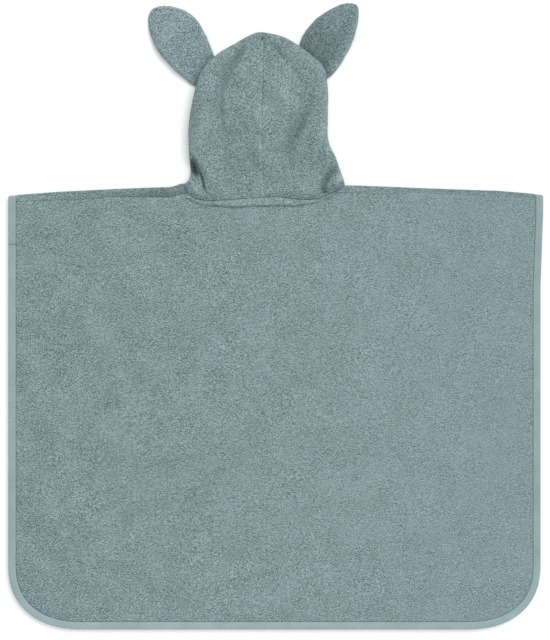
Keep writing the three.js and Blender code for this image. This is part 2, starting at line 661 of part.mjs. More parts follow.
// Gives a sheet its inner face, which lies a wall's thickness inside it. The edge at the neck is cut
// square to the sheet, and the edge at the middle seam is cut in the seam's own plane.
function lineWithCloth(cloth, grid, side, directions) {
  const normals = cloth.outer.map(() => point(0, 0));
  for (const face of cloth.faces) {
    const [a, b, c] = face.map((k) => cloth.outer[k]);
    const normal = b.clone().sub(a).cross(c.clone().sub(a)).multiplyScalar(side);
    for (const k of face) normals[k].add(normal);
  }
  const place = new Map(cloth.outer.map((p, k) => [p, k]));
  const under = HOOD_COLUMNS + 2 * HOOD_TURN_STEPS;
  grid[0].forEach((p, j) => {
    const normal = normals[place.get(p)];
    if (j <= HOOD_COLUMNS) normal.set(0, 0, 1);
    else if (j >= under) normal.set(0, 0, -1);
    else {
      const along = directions[j <= HOOD_COLUMNS + HOOD_TURN_STEPS ? 0 : 1];
      const across = point(-along.y, along.x);
      normal.addScaledVector(across, -normal.dot(across));
    }
  });
  const seamPoints = [...grid.map((row) => row[0]), ...grid[HOOD_ROWS]];
  for (const p of seamPoints) {
    if (place.has(p)) normals[place.get(p)].x = 0;
  }
  cloth.inner = cloth.outer.map((p, k) => p.clone().addScaledVector(normals[k].normalize(), -HOOD_WALL));
}

// Ears: each layer runs from its root, tucked under the hood's rolled side, to its tip
function earLayer(name, layer) {
  const ear = EARS[name];
  const side = name === 'left' ? -1 : 1;
  const outline = curve(side < 0 ? HOOD_LEFT : HOOD_RIGHT).getPoints(OUTLINE_STEPS);
  const direction = point(Math.cos(ear.angle * Math.PI / 180), Math.sin(ear.angle * Math.PI / 180));
  const leftward = point(-direction.y, direction.x);
  const spot = (along, across) => (
    point(ear.rootX, ear.rootY).addScaledVector(direction, along).addScaledVector(leftward, across));
  const outside = (p) => {
    const near = nearestOnLine(outline, p.x, p.y);
    return near.distance * Math.sign(near.left) * -side;
  };
  const rootAlong = (across) => {
    let along = -EAR_ROOT_SEARCH;
    while (outside(spot(along, across)) < -ear.tuck) along += EAR_ROOT_SEARCH_STEP;
    return along;
  };
  const last = EAR_ROWS.length - 1;
  const cloth = new Cloth();
  cloth.patch(last, EAR_COLUMNS, (i, j) => {
    const share = EAR_ROWS[i];
    const u = Math.sin((2 * j / EAR_COLUMNS - 1) * Math.PI / 2);
    const key = u > 0 ? 'left' : 'right';
    const half = read(ear.widths, share, key, 'along');
    const rootAcross = u * read(ear.widths, 0, key, 'along');
    const tuck = rootAlong(rootAcross) * (1 - smooth(share, 0, EAR_ROOT_BLEND));
    const p = spot(share * ear.length + tuck, u * half);
    const rim = Math.min(half * (1 - Math.abs(u)), ear.length * (1 - share));
    const full = lerp(EAR_EDGE_CLOTH, EAR_CLOTH, smooth(rim, 0, EAR_RIM));
    const thick = lerp(EAR_ROOT_CLOTH, full, smooth(outside(p), -ear.tuck, EAR_ROOT_SPREAD));
    const rise = readSmooth(ear.arch, share, ARCH_ROUNDING) * (1 - EAR_DROOP * u * u);
    const bottom = Math.max(rise, 0) + layer * (thick + GAP);
    return [point(p.x, p.y, bottom + thick), point(p.x, p.y, bottom)];
  });
  return cloth.geometry();
}

const group = new THREE.Group();

function add(name, geometry, colour) {
  const material = new THREE.MeshStandardMaterial({ color: colour, roughness: 0.95, metalness: 0 });
  const mesh = new THREE.Mesh(geometry, material);
  mesh.name = name;
  group.add(mesh);
}

add('back_panel', backPanel(), COLOURS.cloth);
add('front_panel', frontPanel(), COLOURS.cloth);
add('edge_binding', edgeBinding(), COLOURS.tape);
add('hood_left', hoodHalf(-1), COLOURS.hood);
add('hood_right', hoodHalf(1), COLOURS.hood);
for (const name of ['left', 'right']) {
  add(`ear_${name}_front`, earLayer(name, 0), COLOURS.ear);
  add(`ear_${name}_back`, earLayer(name, 1), COLOURS.ear);
}

export default group;
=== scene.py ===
import math

import bpy
import numpy as np
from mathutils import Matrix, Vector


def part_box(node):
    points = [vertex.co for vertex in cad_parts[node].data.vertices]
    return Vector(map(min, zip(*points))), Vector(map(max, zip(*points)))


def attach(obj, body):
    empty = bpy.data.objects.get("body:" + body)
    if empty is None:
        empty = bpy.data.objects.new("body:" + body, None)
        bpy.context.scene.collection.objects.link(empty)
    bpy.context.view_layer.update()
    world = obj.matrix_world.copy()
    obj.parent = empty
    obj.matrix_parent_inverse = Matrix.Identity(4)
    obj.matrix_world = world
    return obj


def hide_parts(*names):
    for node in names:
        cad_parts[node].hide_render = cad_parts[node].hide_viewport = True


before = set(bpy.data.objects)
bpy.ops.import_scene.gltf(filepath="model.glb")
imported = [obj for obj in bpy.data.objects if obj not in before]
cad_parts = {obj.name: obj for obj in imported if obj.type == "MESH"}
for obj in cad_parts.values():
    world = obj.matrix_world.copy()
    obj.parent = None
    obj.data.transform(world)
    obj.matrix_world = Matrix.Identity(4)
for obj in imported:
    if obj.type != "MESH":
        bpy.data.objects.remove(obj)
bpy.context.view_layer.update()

# A hooded bath poncho of terry towelling, laid flat with its back up. Sizes are in millimetres and MM
# turns them into metres. The tables repeat the part's own, and what adds detail has tables of its own.
MM = 0.001


def edges_of(node):
    """The lowest and highest corner of a node, in millimetres."""
    low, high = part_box(node)
    return [v / MM for v in low], [v / MM for v in high]


TAPE_LOW, TAPE_HIGH = edges_of("edge_binding")
BACK_LOW, BACK_HIGH = edges_of("back_panel")

# The body's outline
LEFT_SIDE = TAPE_LOW[0]
RIGHT_FLARE = 3.5
RIGHT_SIDE = TAPE_HIGH[0] - RIGHT_FLARE
FLARE_START_Y = 40
FLARE_END_Y = 135
HEM_Y = TAPE_LOW[1]
CORNER_X = 98
CORNER_Y = 85
CORNER_POWER = 2.3

# Cloth and seams
GAP = 0.3
SEAM_GAP = 0.08
SHOULDER_GAP = 0.1
LAYER_STEP = BACK_LOW[2]
CLOTH = LAYER_STEP - GAP
FOLD_RADIUS = CLOTH + GAP / 2
FOLD_MIDDLE = FOLD_RADIUS - CLOTH / 2
HALF_TURN = FOLD_MIDDLE * math.pi / 2
TOP_OF_BACK = CLOTH + LAYER_STEP
TAPE_COVER = 10
TAPE_WALL = 1
TAPE_STITCH_INSET = 8.8
EDGE_CLOTH = 1.1
EDGE_INSET = TAPE_WALL + 3 * GAP
FULL_INSET = 12
JOIN_Y = 94
SEAM_X = -16.8
HOOD_WALL = 3
FELL = 6.2
FACE_GAP = 39
FOREHEAD_Y = 335
FOREHEAD_ROUND = 23
BAND_RISE = 2.2
BAND = {"x": [-130, -105, -79, -53, -29, -6, 15, 39, 55, 75, 100],
        "y": [4.5, 5.5, 8, 11.4, 11.2, 13, 11.5, 7, 5, 4.5, 4.5]}
HOOD_HALF_WIDTH = 90
NECK_SLOPE = 9
CREASE_START = 5
LOWEST_FOLD = 4.2
# The most painted shade a crease may put into the hood's colour
DARKEST_PAINTED_SHADE = 0.8

LEFT_FOLD = {"x": [-351.9, -335, -283, -230, -165, -138, -131, -121],
             "y": [158.5, 160.2, 163.8, 166, 168, 169, 171.6, 175]}
RIGHT_FOLD = {"x": [92, 112, 164, 242, 295, 335, 351.9],
              "y": [171.6, 171.2, 169.6, 166.7, 164.9, 161.5, 159.6]}
LEFT_SEAM = {"x": [-351.9, -263, -213, -160, -121], "y": [9, 11.5, 9.4, 11.5, 13.5]}
RIGHT_SEAM = {"x": [66, 150, 185, 351.9], "y": [9, 9.6, 6.5, 6.5]}
BACK_NECK = {"x": [-122, -117.5, -108.5, -95, -70, SEAM_X, 6, 28, 54, 70, 82, 91.6],
             "y": [174.2, 166, 156.4, 152.6, 152.8, 156.4, 157, 154, 154.6, 161, 166.6, 170.8]}
FRONT_NECK = {"x": [-122, -112, -84, -50, SEAM_X, 16, 52, 78, 91.6],
              "y": [174.2, 158, 124, 108.5, 104, 108.5, 124, 153, 170.8]}
HOOD_LEFT = {"x": [-122, -115, -112.3, -114.4, -114, -107, -97, -77, -51, -37, -26, SEAM_X],
             "y": [174.2, 178, 188, 218, 252, 293, 322, 343.4, 359.4, 367.2, 372, 372.8]}
HOOD_RIGHT = {"x": [91.6, 87.3, 79, 69, 68.4, 68.4, 62, 41, 23, 7, SEAM_X],
              "y": [170.8, 185, 208, 231, 262, 298, 328, 346.4, 359.8, 367.6, 372.8]}
HOOD_HEIGHT = {"y": [150, 162, 187, 212, 240, 300, 340, 375],
               "middle": [9.6, 10.6, 12.5, 18.5, 26, 29, 26, 20],
               "side": [11.5, 13, 15.5, 19, 22, 23, 20, 18]}
SIDE_ROLL = {"x": [0, 0.12, 0.25, 0.8, 1], "y": [FOLD_RADIUS, 9, 13, 13, 12]}

# How far the hood's middle seam wanders to the side at each height up the back
SEAM_WANDER = {"y": [150, 166.5, 215, 273, 345, 375], "x": [0, 0, -3.3, -2, 0, 0]}

# Creases in the hood. Each runs through its x and y. East and west are its widths on the two sides of
# that line, so a small one is a sharp edge. A rise under 0 is a trough. Dark is painted shade put into
# the cloth's colour along it, and painted light where it is under 0; a row with no rise is only painted
# shade or light.
CREASES = {
    "crown_fold": {"x": [-6, -0.5, 5, 12], "y": [360, 350.5, 341, 333.5],
                   "rise": -3.2, "east": 4, "west": 5.5, "dark": 0.06},
    "crown_seam": {"x": [-12, -10, -10], "y": [340, 326, 312],
                   "rise": -2, "east": 5, "west": 5, "dark": 0.04},
    "crown_edge": {"x": [-48, -30, -14, 6, 24, 40], "y": [352, 362, 366, 359, 349, 338],
                   "rise": 0, "east": 12, "west": 12, "dark": 0.13},
    "left_fold": {"x": [-40, -47, -54, -64], "y": [358, 343, 331, 314],
                  "rise": -3, "east": 4, "west": 4.5, "dark": 0.1},
    "left_top": {"x": [-92, -76, -60, -50], "y": [318, 329, 338, 347],
                 "rise": 2, "east": 7, "west": 7, "dark": -0.05},
    "upper_right": {"x": [12, 20, 27, 33, 36], "y": [335, 331, 318, 304, 294],
                    "rise": -3, "east": 4, "west": 6, "dark": 0.08},
    "right_trough": {"x": [43.5, 43.5, 40.8, 34.5, 28.3, 20.8, 7.1, -6],
                     "y": [296, 287, 277, 262, 245, 230, 216, 206],
                     "rise": -8, "east": 6.5, "west": 9, "dark": 0.07},
    "right_floor": {"x": [35, 31, 26, 19, 10], "y": [262, 250, 238, 227, 218],
                    "rise": -2.5, "east": 4.5, "west": 7, "dark": 0.09},
    "lower_right": {"x": [24, 14, 6, 0], "y": [226, 212, 200, 188],
                    "rise": -4, "east": 14, "west": 7, "dark": 0.06},
    "left_trough": {"x": [-40, -47, -53.8, -65.3, -71.5, -73.2, -71, -64],
                    "y": [358, 342, 331, 312, 295, 275, 252, 236],
                    "rise": -5.5, "east": 4.2, "west": 8, "dark": 0.08},
    "left_valley": {"x": [-73, -72, -71, -69], "y": [268, 240, 210, 180],
                    "rise": -3.5, "east": 14, "west": 5, "dark": 0.02},
    "inner_dark": {"x": [-37, -40, -42], "y": [310, 295, 278],
                   "rise": -2, "east": 5, "west": 6},
    "inner_left": {"x": [-45, -40, -35], "y": [256, 246, 234],
                   "rise": -2, "east": 3, "west": 6, "dark": 0.05},
    "beside_seam": {"x": [-33, -30.5, -28.5, -27], "y": [221, 210, 198, 188],
                    "rise": -2.5, "east": 5, "west": 7, "dark": 0.06},
    "middle_bump": {"x": [-27, -23, -18], "y": [274, 256, 238],
                    "rise": 5, "east": 12, "west": 7, "dark": -0.1},
    "right_bulge": {"x": [2, 6, 10], "y": [302, 286, 270],
                    "rise": 2, "east": 12, "west": 8, "dark": -0.03},
    "left_side": {"x": [-90, -98, -98, -97, -96], "y": [326, 300, 270, 240, 216],
                  "rise": 4, "east": 9, "west": 7, "dark": -0.04},
    "right_side": {"x": [56, 58, 52, 43, 39], "y": [276, 245, 222, 200, 176],
                   "rise": 3.5, "east": 7, "west": 7, "dark": -0.04},
    "neck_stripe": {"x": [-114, -108, -101, -94], "y": [173, 165, 159, 156.5],
                    "rise": 2, "east": 2.5, "west": 2.5, "dark": -0.2},
    "base_middle": {"x": [-50, -20, 14, 44], "y": [163, 166, 165, 164],
                    "rise": 0, "east": 8, "west": 8, "dark": -0.04},
    "base_left": {"x": [-64, -46, -28], "y": [176, 178, 177],
                  "rise": 1.5, "east": 10, "west": 8, "dark": -0.05},
    "left_tuck": {"x": [-110.5, -104, -99, -95, -92.3, -84], "y": [212, 202, 189, 176, 164, 158.5],
                  "rise": -6.5, "east": 1.1, "west": 2, "dark": 0.22},
    # left_hollow paints a deep shadow into the pocket under the hood's side
    "left_hollow": {"x": [-111, -108, -105.3, -103], "y": [208, 199, 191, 182],
                    "rise": -15, "east": 3.6, "west": 7, "dark": 0.75},
    "left_bulge": {"x": [-99, -91, -87, -84], "y": [206, 190, 176, 168],
                   "rise": 3, "east": 8, "west": 3},
    "right_tuck": {"x": [70, 63, 57.5, 55.5, 55], "y": [230, 228, 220, 206, 191],
                   "rise": -4.5, "east": 8, "west": 2.2, "dark": 0.06},
    "right_hollow": {"x": [84, 76, 69, 64, 62, 66, 76], "y": [197, 190.5, 184, 175, 167, 161.5, 161.5],
                     "rise": -9, "east": 3.2, "west": 4.5, "dark": 0.22},
    "right_ridge": {"x": [90, 82, 73], "y": [183, 177.5, 170],
                    "rise": 4.5, "east": 5, "west": 4.5, "dark": -0.25},
}

EARS = {
    "left": {
        "root": (-92.1, 323.2), "angle": 131.1, "length": 108, "tuck": 3.9,
        "along": [0, 0.1, 0.3, 0.5, 0.6, 0.7, 0.8, 0.88, 0.94, 0.98, 1],
        "left": [22.5, 26.2, 31, 31.5, 30.2, 27.1, 22.6, 17.5, 12.2, 7, 0],
        "right": [18.5, 22.9, 30.1, 34.7, 34.7, 32.4, 26.9, 20.9, 14.4, 7.8, 0],
        "arch": {"x": [0, 0.05, 0.3, 0.55, 0.95, 1], "y": [0, 0, 6, 6.5, 0, 0]},
    },
    "right": {
        "root": (49.4, 333.4), "angle": 53.6, "length": 95.9, "tuck": 3.1,
        "along": [0, 0.1, 0.2, 0.3, 0.5, 0.6, 0.7, 0.8, 0.88, 0.94, 0.98, 1],
        "left": [27, 30.3, 32.6, 33, 31.4, 28.4, 24.8, 20.4, 16.2, 10.8, 5.6, 0],
        "right": [25, 29, 30.2, 29.4, 26.5, 24, 20.2, 16.2, 11.9, 8.2, 4.8, 0],
        "arch": {"x": [0, 0.07, 0.5, 0.65, 0.95, 1], "y": [0, 0, 9, 9, 0, 0]},
    },
}
EAR_ROOT_CLOTH = 1.1
EAR_CLOTH = 2.3
EAR_EDGE_CLOTH = 1.2
EAR_RIM = 4
EAR_ROOT_SPREAD = 10
EAR_ROOT_BLEND = 0.5
EAR_DROOP = 0.5

# How finely each stretch is divided
SHOULDER_COLUMNS = 60
HOOD_COLUMNS = 84
SEAM_CROWDING = 0.5
UNDER_COLUMNS = 24
SIDE_ROWS = 84
FLARE_ROWS = 24
CORNER_STEPS = 44
TURN_STEPS = 12
STRIP_STEPS = 6
TAPE_HEM_STEPS = 176
TAPE_END_STEPS = 20
HOOD_ROWS = 160
HOOD_TURN_STEPS = 12
EAR_COLUMNS = 44
EAR_ROW_COUNT = 76


def smooth(value, low, high):
    f = np.clip((np.asarray(value, float) - low) / (high - low), 0, 1)
    return f * f * (3 - 2 * f)


def read(table, value, column="y", key="x"):
    return np.interp(value, table[key], table[column])


def read_smooth(table, value, reach, key="x", column="y"):
    value = np.asarray(value, float)
    return sum(read(table, value + s * reach, column, key) for s in (-1, -0.5, 0, 0.5, 1)) / 5


NOISE_SIZE = 256


def noise(x, y, cell, seed):
    """Smooth random values from -1 to 1, with hills about one cell apart."""
    table = np.random.RandomState(seed).uniform(-1, 1, (NOISE_SIZE, NOISE_SIZE))
    u, v = np.asarray(x, float) / cell, np.asarray(y, float) / cell
    i, j = np.floor(u).astype(int), np.floor(v).astype(int)
    f, g = smooth(u - i, 0, 1), smooth(v - j, 0, 1)
    pick = lambda a, b: table[a % NOISE_SIZE, b % NOISE_SIZE]
    low = pick(i, j) * (1 - f) + pick(i + 1, j) * f
    high = pick(i, j + 1) * (1 - f) + pick(i + 1, j + 1) * f
    return low * (1 - g) + high * g


def curve(table, count):
    """Points along a smooth curve through a table's rows, the same curve as the part's own."""
    p = np.column_stack([table["x"], table["y"]]).astype(float)
    p = np.vstack([2 * p[0] - p[1], p, 2 * p[-1] - p[-2]])
    points = []
    for k in range(1, len(p) - 2):
        a, b, c, d = p[k - 1:k + 3]
        ta, tb, tc = (np.linalg.norm(q - r) ** 0.5 for q, r in ((b, a), (c, b), (d, c)))
        start = ((b - a) / ta - (c - a) / (ta + tb) + (c - b) / tb) * tb
        end = ((c - b) / tb - (d - b) / (tb + tc) + (d - c) / tc) * tb
        t = np.linspace(0, 1, count, endpoint=False)[:, None]
        points.append((2 * t**3 - 3 * t**2 + 1) * b + (t**3 - 2 * t**2 + t) * start
                      + (3 * t**2 - 2 * t**3) * c + (t**3 - t**2) * end)
    return np.vstack([*points, p[-2:-1]])


def spaced(points, steps):
    """The same line of points at even steps of length."""
    lengths = np.concatenate([[0], np.cumsum(np.linalg.norm(np.diff(points, axis=0), axis=1))])
    at = np.linspace(0, lengths[-1], steps + 1)
    return np.column_stack([np.interp(at, lengths, points[:, k]) for k in range(points.shape[1])])


def sideways(points):
    """The level direction to the left of a line at each of its points."""
    step = np.diff(points[:, :2], axis=0)
    step /= np.linalg.norm(step, axis=1, keepdims=True)
    along = np.vstack([step[:1], step]) + np.vstack([step, step[-1:]])
    along /= np.linalg.norm(along, axis=1, keepdims=True)
    return np.column_stack([-along[:, 1], along[:, 0]])


def nearest(line, x, y):
    """For each place: its distance from a line, how far along the line, and over 0 on the line's left."""
    x, y = np.asarray(x, float), np.asarray(y, float)
    best = np.full(x.shape, np.inf)
    share = np.zeros(x.shape)
    left = np.zeros(x.shape)
    for k in range(len(line) - 1):
        a, d = line[k], line[k + 1] - line[k]
        f = np.clip(((x - a[0]) * d[0] + (y - a[1]) * d[1]) / (d @ d), 0, 1)
        away_x, away_y = x - a[0] - d[0] * f, y - a[1] - d[1] * f
        distance = np.hypot(away_x, away_y)
        near = distance < best
        best = np.where(near, distance, best)
        share = np.where(near, (k + f) / (len(line) - 1), share)
        left = np.where(near, d[0] * away_y - d[1] * away_x, left)
    return best, share, left


class Cloth:
    """A piece of cloth: patches of points on its outer face, the matching ones on its inner face, and a
    rim round its edges."""

    def __init__(self):
        self.patches = []

    def patch(self, outer, inner, shade=0.0):
        outer, inner = np.asarray(outer, float), np.asarray(inner, float)
        self.patches.append((outer, inner, np.broadcast_to(shade, outer.shape[:2])))

    def piece(self, name):
        points = np.vstack([np.concatenate([o, i], axis=2).reshape(-1, 6) for o, i, _ in self.patches])
        shades = np.concatenate([shade.reshape(-1) for _, _, shade in self.patches])
        welded, first, index = np.unique(np.round(points, 3), axis=0, return_index=True, return_inverse=True)
        points = points[first]
        index = index.reshape(-1)
        quads, start = [], 0
        for outer, _, _ in self.patches:
            rows, columns = outer.shape[:2]
            grid = index[start:start + rows * columns].reshape(rows, columns)
            start += rows * columns
            corners = [grid[:-1, :-1], grid[:-1, 1:], grid[1:, 1:], grid[1:, :-1]]
            quads.append(np.stack(corners, -1).reshape(-1, 4))
        quads = np.vstack(quads)
        same = quads == np.roll(quads, -1, axis=1)
        whole = quads[same.sum(axis=1) == 0]
        triangles = [[v for v, s in zip(q, f) if not s] for q, f in zip(quads, same) if f.sum() == 1]
        faces = whole.tolist() + triangles
        pairs = [whole[:, [k, (k + 1) % 4]] for k in range(4)]
        if triangles:
            pairs += [np.array(triangles)[:, [k, (k + 1) % 3]] for k in range(3)]
        edges = np.vstack(pairs)
        count = len(points)
        keys = edges[:, 0].astype(np.int64) * count + edges[:, 1]
        back = edges[:, 1].astype(np.int64) * count + edges[:, 0]
        rim = edges[~np.isin(back, keys)]
        all_faces = faces + [[v + count for v in reversed(f)] for f in faces]
        all_faces += np.column_stack([rim[:, 1], rim[:, 0], rim[:, 0] + count, rim[:, 1] + count]).tolist()
        vertices = np.vstack([points[:, :3], points[:, 3:]])
        return solid(name, vertices, all_faces, np.concatenate([shades[first], np.zeros(count)]))


def solid(name, vertices, faces, shades):
    """A smooth mesh object with its faces outward, from points in millimetres. The shades are the
    painted shade at each point: how much darker than the rest of the cloth it is painted, and painted
    light where under 0."""
    mesh = bpy.data.meshes.new(name)
    mesh.from_pydata((np.asarray(vertices) * MM).tolist(), [], faces)
    if signed_volume(mesh) < 0:
        mesh.flip_normals()
    mesh.shade_smooth()
    mesh.attributes.new("shade", "FLOAT", "POINT").data.foreach_set("value", shades)
    piece = bpy.data.objects.new(name, mesh)
    bpy.context.scene.collection.objects.link(piece)
    return piece


def signed_volume(mesh):
    mesh.calc_loop_triangles()
    corners = np.empty(len(mesh.vertices) * 3)
    mesh.vertices.foreach_get("co", corners)
    index = np.empty(len(mesh.loop_triangles) * 3, int)
    mesh.loop_triangles.foreach_get("vertices", index)
    a, b, c = corners.reshape(-1, 3)[index.reshape(-1, 3)].transpose(1, 0, 2)
    return float(np.einsum("ij,ij->i", a, np.cross(b, c)).sum())


def between(bottom, top, left, right, crowding=1.0):
    """A grid of level points stretched between its four edges: rows go from the bottom to the top."""
    u = np.linspace(0, 1, len(bottom))[None, :, None]
    u = crowding * u + (1 - crowding) * u**2
    v = np.linspace(0, 1, len(left))[:, None, None]
    low_corners = (1 - u) * (1 - v) * bottom[0] + u * (1 - v) * bottom[-1]
    high_corners = (1 - u) * v * top[0] + u * v * top[-1]
    corners = low_corners + high_corners
    return (1 - v) * bottom[None] + v * top[None] + (1 - u) * left[:, None] + u * right[:, None] - corners


# The body's outline and the fold of its shoulders
def side_x(side, y):
    share = (np.asarray(y, float) - FLARE_START_Y) / (FLARE_END_Y - FLARE_START_Y)
    flare = RIGHT_FLARE * np.clip(share, 0, 1)
    return LEFT_SIDE + 0 * flare if side < 0 else RIGHT_SIDE + flare


def side_points(side, tops):
    top = tops[-1]
    rows = np.concatenate([tops, np.linspace(top, FLARE_START_Y, FLARE_ROWS + 1)[1:],
                           np.linspace(FLARE_START_Y, HEM_Y + CORNER_Y, SIDE_ROWS + 1)[1:]])
    angle = np.linspace(0, math.pi / 2, CORNER_STEPS + 1)[1:]
    reach_x = CORNER_X * (1 - np.maximum(np.cos(angle), 0) ** (2 / CORNER_POWER))
    reach_y = CORNER_Y * np.sin(angle) ** (2 / CORNER_POWER)
    side_line = side_x(side, HEM_Y) - side * reach_x
    return np.vstack([np.column_stack([side_x(side, rows), rows]),
                      np.column_stack([side_line, HEM_Y + CORNER_Y - reach_y])])


def bound_edge(left_tops, right_tops, columns):
    """Down the left side, along the hem and up the right side, with the direction into the cloth."""
    left = side_points(-1, left_tops)
    right = side_points(1, right_tops)[::-1]
    hem = spaced(np.vstack([left[-1], right[0]]), columns - CORNER_STEPS)[1:-1]
    line = np.vstack([left, hem, right])
    inward = sideways(line)
    upright = line[:, 1] > FLARE_START_Y - 1
    inward[upright] = np.column_stack([-np.sign(line[upright, 0]), np.zeros(upright.sum())])
    return line, inward


def fold_y(side, x):
    return read_smooth(LEFT_FOLD if side < 0 else RIGHT_FOLD, x, 3)


def seam_drop(side, x):
    return read_smooth(LEFT_SEAM if side < 0 else RIGHT_SEAM, x, 3)


def seam_y(side, x):
    return fold_y(side, x) - seam_drop(side, x)


def on_fold(x, fold, reach, height):
    """Cloth that goes over the fold of a shoulder: reach is over 0 on the back and under 0 on the front."""
    angle = np.clip(reach / FOLD_MIDDLE, -math.pi / 2, math.pi / 2)
    radius = FOLD_MIDDLE + height
    straight = np.maximum(np.abs(reach) - HALF_TURN, 0)
    y = fold - FOLD_RADIUS + radius * np.cos(angle) - straight
    return np.stack(np.broadcast_arrays(x, y, FOLD_RADIUS + radius * np.sin(angle)), -1)


def strip_reach(side, x, row):
    if row <= TURN_STEPS:
        return HALF_TURN * (2 * row / TURN_STEPS - 1) + 0 * np.asarray(x, float)
    end = seam_drop(side, x) - SHOULDER_GAP / 2 - FOLD_RADIUS + HALF_TURN
    return HALF_TURN + (end - HALF_TURN) * (row - TURN_STEPS) / STRIP_STEPS


STRIP_ROWS = TURN_STEPS + STRIP_STEPS


def crowded(line, steps):
    """Points along a line, closer together towards its end."""
    t = np.linspace(1, 0, steps + 1)
    share = 1 - SEAM_CROWDING * t - (1 - SEAM_CROWDING) * t**2
    fine = spaced(line, 2000)
    return np.column_stack([np.interp(share, np.linspace(0, 1, 2001), fine[:, k]) for k in range(2)])


def neck_half(table, side, end_x, steps, spread=spaced):
    whole = spaced(curve(table, 60), 600)
    if side > 0:
        whole = whole[::-1]
    half = whole[(end_x - whole[:, 0]) * side < 0]
    rolled = np.argmax(np.linalg.norm(half - half[0], axis=1) >= FOLD_RADIUS)
    order = np.argsort(whole[:, 0])
    end = [end_x, np.interp(end_x, whole[order, 0], whole[order, 1])]
    return np.vstack([half[:1], spread(np.vstack([half[rolled:], end]), steps)])


SIDES = (-1, 1)
BACK_HALF = {s: neck_half(BACK_NECK, s, SEAM_X + s * SEAM_GAP / 2, HOOD_COLUMNS, crowded) for s in SIDES}
FRONT_HALF = {s: neck_half(FRONT_NECK, s, SEAM_X + s * FACE_GAP / 2, UNDER_COLUMNS) for s in SIDES}
NECK_LINE = np.vstack([BACK_HALF[-1], BACK_HALF[1][::-1]])
FRONT_LINE = np.vstack([FRONT_HALF[-1], FRONT_HALF[1][::-1]])
BODY_NECK_BACK = NECK_LINE - GAP * sideways(NECK_LINE)
BODY_NECK_FRONT = FRONT_LINE - GAP * sideways(FRONT_LINE)


def crossing(line, side, y):
    down = line if side < 0 else line[::-1]
    i = 1
    while i < len(down) - 1 and down[i][1] > y:
        i += 1
    f = (down[i - 1][1] - y) / (down[i - 1][1] - down[i][1])
    return down[i - 1][0] + (down[i][0] - down[i - 1][0]) * f


def strip_end(side, row):
    line = BODY_NECK_BACK if row > TURN_STEPS / 2 else BODY_NECK_FRONT
    x = line[0 if side < 0 else -1][0]
    for _ in range(8):
        fold = float(fold_y(side, x))
        y = float(on_fold(x, fold, float(strip_reach(side, x, row)), CLOTH / 2)[1])
        x = crossing(line, side, min(y, fold - 0.4)) + side * GAP
    return x


# The cloth's thickness at each distance in from the bound edge: pressed thin under the tape
RING_INSETS = [EDGE_INSET, 5, 8, 9.9, 10.3, 10.7, 11.2, FULL_INSET]


def cloth_at(inset):
    return EDGE_CLOTH + (CLOTH - EDGE_CLOTH) * smooth(inset, TAPE_COVER - 0.2, FULL_INSET - 0.8)


def strip_columns(side, row):
    edge = float(side_x(side, FLARE_END_Y))
    rings = [edge - side * inset for inset in RING_INSETS[:-1]]
    full = np.linspace(edge - side * FULL_INSET, strip_end(side, row), SHOULDER_COLUMNS + 1)
    thick = np.concatenate([cloth_at(np.array(RING_INSETS[:-1])), np.full(len(full), CLOTH)])
    return np.concatenate([rings, full]), thick


def panel_top(row, neck_line, height_at):
    shoulders = []
    for side in SIDES:
        x = strip_columns(side, row)[0][len(RING_INSETS) - 1:]
        shoulders.append(np.column_stack([x, height_at(side, x)]))
    left, right = shoulders[0], shoulders[1][::-1]
    keep = ((neck_line[:, 0] > left[-1][0] + 1) & (neck_line[:, 0] < right[0][0] - 1)
            & (neck_line[:, 1] < left[-1][1] + 1) & (neck_line[:, 1] < right[0][1] + 1))
    return np.vstack([left, neck_line[keep], right])


def raised(p, z, up, thick, rise):
    """Both faces of level cloth at points p, with its outer face raised by rise."""
    outer = np.dstack([p[..., 0], p[..., 1], z + up * (thick / 2 + rise)])
    inner = np.dstack([p[..., 0], p[..., 1], np.broadcast_to(z - up * thick / 2, p.shape[:2])])
    return outer, inner


def panel(cloth, top, height_at, z, up, depths, relief, shade):
    """A body panel below the line top. Depths are the rows beside that line, relief is what stands up
    from its outer face, and shade is the painted shade, or painted light under 0, in its colour there."""
    columns = len(top) - 1
    tops = lambda side, x: np.array([float(height_at(side, x)) - d for d in depths])
    line, inward = bound_edge(tops(-1, top[0][0]), tops(1, top[-1][0]), columns)
    last = len(line) - 1

    def ring(inset):
        p = line + inset * inward
        for k, depth in enumerate(depths):
            for i in (k, last - k):
                p[i, 1] = float(height_at(np.sign(p[i, 0]), p[i, 0])) - depth
        return p

    head = np.array([[(x, y - d) for x, y in top] for d in reversed(depths)])
    cloth.patch(*raised(head, z, up, CLOTH, relief(head)), shade(head))
    inside = ring(FULL_INSET)
    head_rows = len(depths) - 1
    rows = (last - columns) // 2 - head_rows
    left = inside[head_rows:head_rows + rows + 1][::-1]
    bottom = inside[head_rows + rows:head_rows + rows + columns + 1]
    right = inside[head_rows + rows + columns:last - head_rows + 1]
    grid = between(bottom, head[0], left, right)
    cloth.patch(*raised(grid, z, up, CLOTH, relief(grid)))
    insets = RING_INSETS[::-1]
    rings = np.stack([ring(inset) for inset in insets], axis=1)
    thick = np.broadcast_to(cloth_at(np.array(insets)), rings.shape[:2])
    full = smooth(np.broadcast_to(insets, rings.shape[:2]), TAPE_COVER - 0.2, FULL_INSET - 0.8)
    cloth.patch(*raised(rings, z, up, thick, relief(rings) * full))
